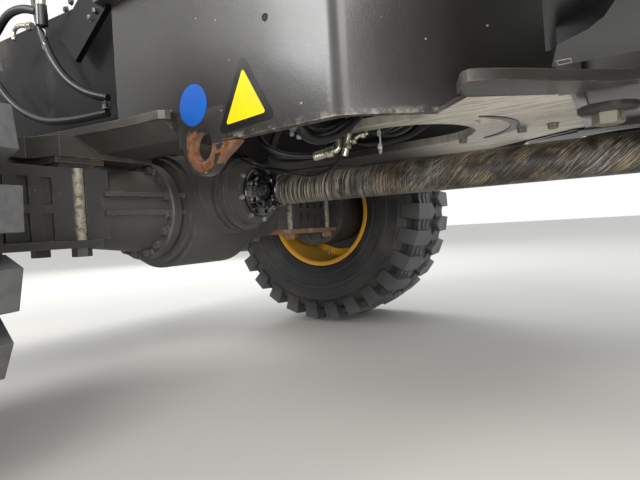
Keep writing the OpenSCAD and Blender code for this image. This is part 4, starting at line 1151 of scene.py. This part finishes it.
def makeAxleDetails(look):
    # Joint rings of the rear axle's trumpets, their bolts, and the breather with its red cap
    shapes = []
    for mirror, outwards, inwards in ((1, "y", "-y"), (-1, "-y", "y")):
        joint, brake = [(rearX, mirror * look[key], axleZ) for key in ("jointY", "brakeY")]
        shapes.append(lathe(jointRing, joint, "y", 64))
        shapes += stamped(hexHead(*look["jointHead"]), ringPlaces(joint, outwards, *look["jointBolts"]))
        for low, high in look["ridges"]:
            ridge = [(low, -0.006), (high, -0.006), (high - 0.003, 0.004), (low + 0.003, 0.004)]
            shapes.append(lathe([(r, -mirror * a) for r, a in ridge], brake, "y", 64))
        shapes += stamped(hexHead(*look["brakeHead"]), ringPlaces(brake, inwards, *look["brakeBolts"]))
    nose = at(look["noseX"], 0, shaftZ)
    shapes += stamped(hexHead(*look["noseHead"], finish=2), ringPlaces(nose, "x", *look["noseBolts"]))
    x, y, z = seen(*look["breather"])
    shapes.append(rodBetween((x, y, z - 0.075), (x, y, z - 0.004), 0.006))
    shapes.append(lathe(breatherCap, (x, y, z), "z", 24, 1, False))
    makePiece("axleDetails", shapes, [axlePaint, redCap, bareSteel], bodyOf("rear_axle_housing"),
              "axle_paint", bevel=0.0015, smooth=35)


# Belly: the curved weld, bolts by pixel and height, the pin under the front arm, and a small hole in the
# wall, drawn as a black ring round a black disc of painted shade
bellyLook = {
    "weldX": 0.860, "weldR": 0.192, "weldHalf": 0.0095, "weldFrom": -42, "weldTo": 64,
    "bolts": ((522, 128, 0.666), (553, 123, 0.646), (346, 167, 0.666), (463, 139, 0.668)),
    "pin": (1.243, -0.116, 0.652), "hole": (0.700, 0.848),
}
pinHead = [(0, 0.0), (0.054, 0.0), (0.054, -0.009), (0.046, -0.014), (0, -0.014)]
pinNut = [(0, -0.012), (0.029, -0.012), (0.029, -0.032), (0.025, -0.036), (0, -0.036)]
holeRing = [(0.0046, 0), (0.0078, 0), (0.0070, 0.0014), (0.0046, 0.0014)]
# The hole's inside is not cut: a flat black disc on the wall is painted shade
holeShadeDisc = [(0, -0.001), (0.0046, -0.001), (0.0046, 0.0007), (0, 0.0007)]


def makeBellyDetails(look):
    # The weld is a section carried along an arc, whose half width is the root of a sine from end to end
    radius, rings = look["weldR"], []
    half = look["weldHalf"] * np.sin(np.linspace(0, pi, 30)) ** 0.5 + 0.0008
    for angle, h in zip(np.radians(np.linspace(look["weldFrom"], look["weldTo"], 30)), half):
        section = [(radius - h, -0.0028), (radius + h, -0.0028), (radius + h, 0.002), (radius - h, 0.002)]
        rings.append([at(look["weldX"] + r * cos(angle), r * sin(angle), bellyZ + 0.020 + z)
                      for r, z in section])
    shapes = [slices(rings)]
    for px, py, z in look["bolts"]:
        shapes += fastened(seenAtHeight(px, py, z), (0, 0, -1), 0.019, 0.010, True, 1)
    pin = at(*look["pin"])
    shapes += [lathe(pinHead, pin, "z", 40, 0, False), lathe(pinNut, pin, "z", 6, 1, False)]
    # A black ring and a flat disc of painted shade stand for the hole
    hole = towards(wallSpot(*look["hole"]), (0, -1, 0))
    shapes += [moved(lathe(holeRing, (0, 0, 0), "z", 28, 2), hole),
               moved(lathe(holeShadeDisc, (0, 0, 0), "z", 28, 2, False), hole)]
    makePiece("bellyDetails", shapes, [framePaint, bareSteel, webPaint], bodyOf("centre_box"), "frame_paint",
              bevel=0.001, smooth=35)


# Propeller shaft: the tube with its larger sliding part, and the two joints
shaftLook = {"tubeR": 0.044, "sleeveR": 0.052, "rearX": 0.352, "frontX": 2.170, "flangeR": 0.0755,
             "boltRing": 0.063}


def makeShaft(look):
    # One profile of radius over distance turned round the shaft's line, and a weld bead
    start, end = look["rearX"] + 0.045, look["frontX"] - 0.045
    slide = look["frontX"] - 0.260
    r, big = look["tubeR"], look["sleeveR"]
    profile = [(0, start), (r - 0.003, start), (r, start + 0.003), (r, slide - 0.012),
               (r + 0.0035, slide - 0.008), (r + 0.0035, slide - 0.002), (big - 0.002, slide),
               (big, slide + 0.003), (big, slide + 0.090), (big - 0.002, slide + 0.092),
               (big - 0.002, slide + 0.098), (big, slide + 0.100), (big, end - 0.003), (big - 0.003, end),
               (0, end)]
    shapes = [lathe([(radius, x) for radius, x in profile], (rearX, 0, shaftZ), "x", 96, 0, False),
              ringBead((rearX, 0, shaftZ), "x", r + 0.0005, start + 0.004, 0.0045, 60)]
    makeNode("propshaft_tube", shapes, [shaftPaint], "shaft_paint", 0.0, 35)


def jointShapes(look):
    # One joint drawn at the origin: its flange towards -x, its tube towards +x, and the cross between
    rim = look["flangeR"]
    flange = [(0, -0.0518), (0.072, -0.0518), (rim, -0.0490), (rim, -0.0430), (0.072, -0.0400),
              (0.050, -0.0385), (0.044, -0.0340), (0, -0.0340)]
    collar = [(0, 0.0300), (0.040, 0.0300), (0.0495, 0.0380), (0.0495, 0.0445), (0.0470, 0.0470), (0, 0.0470)]
    shapes = [lathe(flange, (0, 0, 0), "x", 64, 0, False), lathe(collar, (0, 0, 0), "x", 64, 0, False)]
    t = np.radians(np.linspace(-105, 105, 20))
    ear = np.vstack([[(-0.043, -0.036), (-0.020, -0.030)],
                     0.0255 * np.stack([np.cos(t), np.sin(t)], -1),
                     [(-0.020, 0.030), (-0.043, 0.036)]])
    cup = [(0, 0.024), (0.0150, 0.024), (0.0165, 0.026), (0.0165, 0.0475), (0.0150, 0.0505), (0.0080, 0.0515),
           (0, 0.0515)]
    arm = [(0, -0.030), (0.0120, -0.030), (0.0130, -0.012), (0.0200, 0), (0.0130, 0.012), (0.0120, 0.030),
           (0, 0.030)]
    for quarter, flip in ((0, 1), (1, -1)):
        turn = Matrix.Rotation(quarter * pi / 2, 4, "X") @ Matrix.Diagonal((flip, 1, 1, 1))
        for s in (-1, 1):
            low, high = sorted((s * 0.0310, s * 0.0470))
            shapes.append(moved(extruded(ear, low, high, "y"), turn))
            cupTurn = turn @ Matrix.Diagonal((1, s, 1, 1))
            shapes.append(moved(lathe(cup, (0, 0, 0), "y", 28, 1, False), cupTurn))
        shapes.append(moved(lathe(arm, (0, 0, 0), "y", 28, 0, False), turn))
    bolts = ringPlaces((-0.0415, 0, 0), "x", look["boltRing"], 8, 0, pi / 8)
    return shapes + stamped(hexHead(0.0135, 0.0085, True, 1), bolts)


def makeJoints(look):
    # The joint at both ends, the front one turned about
    shapes = []
    for x, facing in ((look["rearX"], 1), (look["frontX"], -1)):
        place = Matrix.Translation((rearX + x, 0, shaftZ)) @ Matrix.Diagonal((facing, 1, 1, 1))
        shapes += stamped(jointShapes(look), [place])
    makeNode("propshaft_joints", shapes, [greasyBlack, greasySteel], "shaft_paint", 0.0016, 32)


makeShaft(shaftLook)
makeJoints(shaftLook)
print("stage: shaft")

# Hoses, fittings and wires, placed by where the photograph shows them


def makeHose(name, points, diameter, node="centre_box", replaced=None):
    # A free hose: a tube along a relaxed curve
    fine = curveThrough(points, 112)
    for _ in range(26):
        fine[1:-1] = (fine[:-2] + 2 * fine[1:-1] + fine[2:]) / 4
    path = fine[::3]
    piece = makePiece(name, [tube(fine, diameter / 2, 18)], [hoseRubber], bodyOf(node), "hose_rubber",
                      smooth=60)
    if replaced:
        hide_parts(replaced)
    tuple(path[0])
    [tuple(p) for p in path]


def ferrule(end, inner, r, length):
    # A crimped sleeve with its hexagon, along the last stretch of a hose
    profile = [(0, 0), (r * 0.75, 0), (r * 0.8, length * 0.10)]
    for k in range(5):
        z = length * (0.42 + 0.11 * k)
        profile += [(r * 1.24, z), (r * 1.24, z + length * 0.06), (r * 1.15, z + length * 0.08)]
    profile += [(r * 1.15, length), (0, length)]
    place = towards(end, Vector(inner) - Vector(end))
    nut = stamped(hexHead(r * 2.7, length * 0.34, False), [Matrix.Translation((0, 0, length * 0.05))])
    return stamped([lathe(profile, (0, 0, 0), "z", 20, 0, False), *nut], [place])


def rodBetween(a, b, radius, sides=18, finish=0):
    # A straight tube
    path = np.linspace(np.asarray(a, float), np.asarray(b, float), 3)
    return tube(path, radius, sides, finish)


def elbow(points, radius):
    # A tube bent along a curve through a few points
    return tube(curveThrough(points, 22), radius, 16)


barUnder = 0.842
# Diameter of each hose, places before, points traced on the photograph, places after
bellyHoses = {
    "hoseOuterLoop": (0.025, [(0.625, -0.335, barUnder), (0.625, -0.335, 0.770)],
                      [(301, 126, -0.345), (305, 136, -0.325), (318, 140, -0.295), (334, 136, -0.265),
                       (348, 126, -0.240), (360, 112, -0.210)],
                      [(0.785, -0.130, 0.790), (0.785, -0.108, 0.868)]),
    "hoseInnerLoop": (0.028, [(0.640, -0.285, barUnder), (0.640, -0.285, 0.775)],
                      [(306, 117, -0.300), (313, 124, -0.280), (325, 126, -0.250), (338, 120, -0.220),
                       (350, 110, -0.180)],
                      [(0.745, -0.105, 0.790), (0.752, -0.080, 0.868)]),
    "hoseRearArc": (0.014, [(0.620, -0.240, barUnder), (0.610, -0.240, 0.790), (0.520, -0.270, 0.700)],
                    [(262, 142, -0.285), (274, 152, -0.270), (292, 156, -0.250), (312, 156, -0.235),
                     (326, 152, -0.228), (336, 148, -0.222)],
                    [(0.668, -0.215, 0.720), (0.650, -0.215, barUnder)]),
    "hoseRearDeep": (0.019, [(0.620, -0.170, barUnder), (0.600, -0.170, 0.790), (0.520, -0.180, 0.715)],
                     [(270, 158, -0.190), (290, 163, -0.175), (312, 160, -0.160), (330, 150, -0.150)],
                     [(0.672, -0.140, 0.735), (0.650, -0.130, 0.790), (0.645, -0.130, barUnder)]),
    "hoseFarLow": (0.032, [(0.630, 0.190, barUnder), (0.590, 0.190, 0.770), (0.560, 0.180, 0.720),
                           (0.640, 0.165, 0.702), (0.760, 0.140, 0.712), (0.840, 0.130, 0.770),
                           (0.862, 0.122, 0.868)], []),
    "hoseFarHigh": (0.022, [(0.630, 0.135, barUnder), (0.600, 0.135, 0.790), (0.610, 0.130, 0.748),
                            (0.700, 0.122, 0.736), (0.790, 0.112, 0.765), (0.830, 0.105, 0.868)], []),
}
for name, (diameter, *line) in bellyHoses.items():
    makeHose(name, traced(*line), diameter)

portCollars = [
    (0.625, -0.335, 0.0125), (0.640, -0.285, 0.0140), (0.785, -0.108, 0.0125), (0.752, -0.080, 0.0140),
    (0.630, 0.190, 0.0160), (0.862, 0.122, 0.0160)]


def makeBellyFittings():
    # Zinc-plated fittings below the bar, the port block that they join, and the clips and ties
    hose = seen(334, 151, -0.225)
    shapes = ferrule(hose, seen(310, 158, -0.236), 0.0085, 0.050)
    shapes.append(rodBetween(seen(324, 153, -0.229), seen(328, 149, -0.232), 0.0060))
    shapes.append(elbow([hose, *traced([], [(338, 149, -0.222), (338, 142, -0.220), (337, 134, -0.220)],
                                       [(0.690, -0.215, 0.745)])], 0.0075))
    shapes.append(elbow(traced([], [(344, 156, -0.214), (346, 148, -0.212), (347, 138, -0.210),
                                    (349, 131, -0.208)], [(0.715, -0.200, 0.745)]), 0.0080))
    for px, py in ((338, 143), (347, 149), (347, 135)):
        shapes += fastened(seen(px, py, -0.214), (0, 0, 1), 0.019, 0.011, False)
    shapes.append(elbow(traced([], [(348, 142, -0.205), (354, 139, -0.200), (360, 135, -0.196),
                                    (368, 133, -0.190)]), 0.0052))
    for px, py in ((352, 141), (361, 135)):
        shapes += fastened(seen(px, py, -0.200), (1, 0.15, 0.1), 0.0150, 0.010, False)
    # The port block hangs from the bar on four rods
    shapes.append(block(at(0.672, -0.262, 0.735), at(0.850, -0.120, 0.765), 1))
    for x, y in ((0.690, -0.230), (0.690, -0.150), (0.830, -0.230), (0.830, -0.150)):
        shapes.append(rodBetween(at(x, y, 0.760), at(x, y, 0.845), 0.008, finish=1))
    shapes.append(block(at(0.615, -0.262, 0.838), at(0.880, 0.100, 0.858), 1))
    for x, y, r in portCollars:
        collar = [(r * 0.95, 0.0), (r * 1.30, 0.0), (r * 1.30, -0.012), (r * 1.15, -0.015),
                  (r * 1.15, -0.030), (r * 0.95, -0.030)]
        shapes.append(lathe(collar, at(x, y, 0.8405), "z", 20))
    makePiece("bellyFittings", shapes, [zincFitting, blackPaint], bodyOf("centre_box"), "bare_steel",
              bevel=0.0012, smooth=35)


def makePaleTies():
    # Rings round the hoses, and a thin wire with beads that hangs in the opening
    ties = []
    for px, py, y, r in ((297, 128, -0.340, 0.0145), (299, 137, -0.335, 0.0040), (292, 134, -0.330, 0.0035)):
        ties.append(lathe([(r + 0.0015, -0.004), (r + 0.0015, 0.004), (r, 0.004), (r, -0.004)],
                          seen(px, py, y), "z", 24))
    drop = traced([], [(378, 112, -0.180), (379, 124, -0.178), (380, 138, -0.176), (381, 153, -0.174)])
    ties.append(tube(curveThrough(drop, 20), 0.0022, 8))
    t = np.linspace(-pi / 2, pi / 2, 9)
    for px, py, size in ((379, 133, 0.0052), (380, 147, 0.0058), (380.5, 151, 0.0045)):
        bead = np.stack([size * np.cos(t), size * 1.5 * np.sin(t)], -1)
        ties.append(lathe(bead, seen(px, py, -0.176), "z", 14, 0, False))
    makePiece("paleTies", ties, [paleTie], bodyOf("centre_box"), "bare_steel", smooth=50)


# The four loops from the bar to the swivel: distance to the left and radius of each
swivelLoops = [(-0.066, 0.019), (-0.020, 0.022), (0.028, 0.017), (0.068, 0.021)]
for number, (y, radius) in enumerate(swivelLoops):
    bend = [at(0.720 + 0.090 * cos(a), y, 0.800 + 0.090 * sin(a)) for a in np.linspace(pi, 2 * pi, 15)]
    loop = [at(0.630, y, barUnder), at(0.630, y, 0.822), *bend, at(0.810, y, 0.822), at(0.810, y, barUnder)]
    makeHose(f"swivelHose{number + 1}", loop, radius * 2, replaced="swivel_hoses")
makeBellyFittings()
makePaleTies()
wireLine = traced([(0.222, -0.160, 0.725), (0.300, -0.160, 0.690)],
                  [(258, 167, -0.165), (290, 173, -0.160), (314, 177, -0.150), (330, 170, -0.155),
                   (340, 160, -0.165), (343, 150, -0.175)], [(0.650, -0.185, barUnder)])
makeHose("wireLow", wireLine, 0.006)
print("stage: belly hoses")

# Brake and steering hoses over the rear arm's web, their fittings, and the bolted bar beside them
armHoses = {
    "hoseArmUpper": (0.020, [(33, -12, -0.445), (36, 8, -0.445), (42, 34, -0.440), (52, 58, -0.432),
                             (68, 80, -0.425), (88, 93, -0.418), (108, 98, -0.406)]),
    "hoseArmLower": (0.020, [(-6, 78, -0.440), (8, 98, -0.438), (24, 112, -0.432), (46, 121, -0.428),
                             (74, 120, -0.420), (108, 113, -0.406)]),
    "hoseArmElbow": (0.022, [(-12, 48, -0.470), (-2, 30, -0.470), (8, 15, -0.468), (22, 9, -0.462),
                             (37, 11, -0.452)]),
}

for name, (diameter, line) in armHoses.items():
    makeHose(name, traced([], line), diameter, node="rear_arms")


def makeArmFittings():
    # A pipe with its nut, two sleeves, two rings and a clip
    pipe = traced([], [(14, 40, -0.462), (14, 31, -0.462), (19, 26, -0.460), (29, 26, -0.456)])
    shapes = [elbow(pipe, 0.0060), *fastened(seen(28, 27, -0.456), (1, 0, -0.1), 0.020, 0.020, False)]
    shapes.append(rodBetween(seen(41, -14, -0.452), seen(41, 6, -0.450), 0.0135, 20))
    shapes.append(rodBetween(seen(41, 5, -0.450), seen(42, 26, -0.448), 0.0155, 20, 1))
    for py, size in ((33, 0.0105), (46, 0.0085)):
        ring = lathe([(size + 0.0030, -0.0022), (size + 0.0030, 0.0022), (size - 0.0022, 0.0022),
                      (size - 0.0022, -0.0022)], (0, 0, 0), "z", 28)
        shapes.append(moved(ring, towards(seen(44, py, -0.440), (0.3, 1, 0.25))))
    x, y, z = seen(104, 105, -0.414)
    shapes.append(block((x - 0.006, y - 0.002, z - 0.010), (x + 0.008, y + 0.016, z + 0.010), 2))
    makePiece("armFittings", shapes, [zincFitting, blackPaint, greasySteel], bodyOf("rear_arms"),
              "bare_steel", bevel=0.0012, smooth=35)


def makeArmBar():
    # A flat bar along a line of the photograph, with four bolts
    low, high = Vector(seen(69, 49, -0.418)), Vector(seen(112, -30, -0.418))
    along = (high - low).normalized()
    across = along.cross(Vector((0, 1, 0))).normalized() * 0.052
    outline = [(p.x, p.z) for p in (low - across, high - across, high + across, low + across)]
    bar = [extruded(outline, -0.424, -0.408, "y")]
    for px, py in ((72, 2), (67, 10), (91, 18), (96, 11)):
        bar += fastened(seen(px, py, -0.424), (0, -1, 0), 0.013, 0.007, True, 1)
    makePiece("armBar", bar, [webPaint, greasySteel], bodyOf("rear_arms"), "black_paint", bevel=0.0025,
              smooth=35)


makeArmFittings()
makeArmBar()
makeAxleDetails(axleLook)
makeBellyDetails(bellyLook)
print("stage: arm hoses and details")

# CAD nodes that keep their shape: copies with flat faces joined and edges rounded
dressTable = {
    "belly_plate": (bellyPaint, "frame_paint", 0.003), "top_plate": (framePaint, "frame_paint", 0.003),
    "transfer_gearbox": (axlePaint, "axle_paint", 0.008), "travel_motor": (blackPaint, "black_paint", 0.004),
    "toolbox_brackets": (framePaint, "frame_paint", 0.003),
    "lock_cylinders": (blackPaint, "black_paint", 0.003), "blade_brackets": (armPaint, "frame_paint", 0.003),
    "front_axle_housing": (axlePaint, "axle_paint", 0.006), "knuckle_left": (axlePaint, "axle_paint", 0.004),
    "knuckle_right": (axlePaint, "axle_paint", 0.004),
    "steering_cylinder": (blackPaint, "black_paint", 0.002), "blade": (bladePaint, "frame_paint", 0.003),
    "blade_lower_arms": (armPaint, "frame_paint", 0.003),
    "blade_upper_links": (armPaint, "frame_paint", 0.003),
    "blade_cylinder_barrels": (blackPaint, "black_paint", 0.002),
    "slew_ring_inner": (ringSteel, "ring_steel", 0.0012),
    "slew_ring_outer": (ringSteel, "ring_steel", 0.0015), "centre_swivel": (blackPaint, "black_paint", 0.003),
    **{"hub_" + corner: (hubPaint, "hub_paint", 0.003) for corner in wheelPlaces},
}
for node, (material, slotName, bevel) in dressTable.items():
    finishNode(node, cleanCopy(node), [material], slotName, bevel)


def dressClamps():
    # Pale studs, dark plates and nuts on the near side and rusty ones on the far side
    mesh = cleanCopy("rear_axle_clamps")
    plateTop = axleZ - 0.077
    for polygon in mesh.polygons:
        if polygon.center.z < plateTop:
            polygon.material_index = 1 if polygon.center.y < 0 else 2
    finishNode("rear_axle_clamps", mesh, [studSteel, axlePaint, rustyPlate], "bare_steel", 0.002)


dressClamps()


def dressRearAxle():
    # The brake housings are drawn in, so that the rim's gold barrel shows round them as in the photograph:
    # each point near their rim moves to 0.83 of its distance from the axle's line
    mesh = cleanCopy("rear_axle_housing")
    points = np.empty(len(mesh.vertices) * 3, np.float32)
    mesh.vertices.foreach_get("co", points)
    points = points.reshape(-1, 3)
    x, z = points[:, 0] - rearX, points[:, 2] - axleZ
    rim = (np.abs(points[:, 1]) > 0.8149) & (np.abs(np.hypot(x, z) - 0.190) < 0.004)
    points[rim, 0], points[rim, 2] = rearX + x[rim] * 0.83, axleZ + z[rim] * 0.83
    mesh.vertices.foreach_set("co", points.ravel())
    mesh.update()
    finishNode("rear_axle_housing", mesh, [axlePaint], "axle_paint", 0.006)


dressRearAxle()
print("stage: nodes dressed")

# CAD nodes that stay as they are, in chrome
for node in ("lock_plunger_left", "lock_plunger_right", "steering_rod", "blade_cylinder_rods"):
    thing = frame["nodes"][node]
    if not thing.hide_render:
        if thing.material_slots:
            for given in thing.material_slots:
                given.material = rodChrome
        else:
            thing.data.materials.append(rodChrome)
print("stage: CAD nodes dressed")

# Floor, light and view. Each lamp has its place, what it points at, size, power and tint
studio = {
    "floor": "#cfccc6", "sky": (0.93, 0.96, 1.0, 1.0), "skyStrength": 0.9,
    "keyPanel": ((3.5, -6.5, 4.5), (0, -0.4, 0.7), (4, 3), 430, (1.0, 0.98, 0.95)),
    "fillPanel": ((-5.5, 4.5, 4.0), (0, 0, 0.6), (4, 3), 220, (0.95, 0.98, 1.0)),
    "wallPanel": ((-3.4, -5.6, 3.6), (-0.45, -0.45, 0.9), (2.6, 2.2), 350, (1, 1, 1)),
    "underPanel": ((2.3, -3.4, 0.75), (-0.9, 0.6, 0.45), (2.4, 0.7), 125, (1.0, 0.98, 0.95)),
}


def makeStage(look):
    # A wide floor, and a sky that only the camera, glass and metal see as white
    size = 60.0
    mesh = bpy.data.meshes.new("floor")
    corners = [(-size, -size, 0), (size, -size, 0), (size, size, 0), (-size, size, 0)]
    mesh.from_pydata(corners, [], [(0, 1, 2, 3)])
    floor = bpy.data.objects.new("floor", mesh)
    bpy.context.scene.collection.objects.link(floor)
    mesh.materials.append(newMaterial("floorPaint", Roughness=0.9, Base_Color=colour(look["floor"]))[0])
    world = bpy.data.worlds.new("studioSky")
    bpy.context.scene.world = world
    world.use_nodes = True
    tree = world.node_tree
    tree.nodes.clear()
    make = nodeMaker(tree)
    light = make("Background", {"Color": look["sky"], "Strength": look["skyStrength"]})
    shown = make("Background", {"Color": (1.0, 1.0, 1.0, 1.0), "Strength": 1.0})
    path = make("LightPath")
    calc = mathMaker(make)
    direct = calc("MAXIMUM", path.outputs["Is Camera Ray"], path.outputs["Is Transmission Ray"])
    direct = calc("MAXIMUM", direct, path.outputs["Is Glossy Ray"])
    both = make("MixShader", {0: direct, 1: light.outputs[0], 2: shown.outputs[0]})
    output = make("OutputWorld")
    tree.links.new(both.outputs[0], output.inputs[0])


def makeLamp(name, place, aim, size, power, tint):
    # A rectangular lamp turned towards what it lights
    data = bpy.data.lights.new(name, "AREA")
    data.shape, data.size, data.size_y = "RECTANGLE", size[0], size[1]
    data.energy, data.color = power, tint
    lamp = bpy.data.objects.new(name, data)
    bpy.context.scene.collection.objects.link(lamp)
    lamp.location = place
    lamp.rotation_euler = (Vector(aim) - Vector(place)).to_track_quat("-Z", "Y").to_euler()


makeStage(studio)
for name in ("keyPanel", "fillPanel", "wallPanel", "underPanel"):
    makeLamp(name, *studio[name])
bpy.context.scene.view_settings.view_transform = "Standard"
print("stage: floor and light")
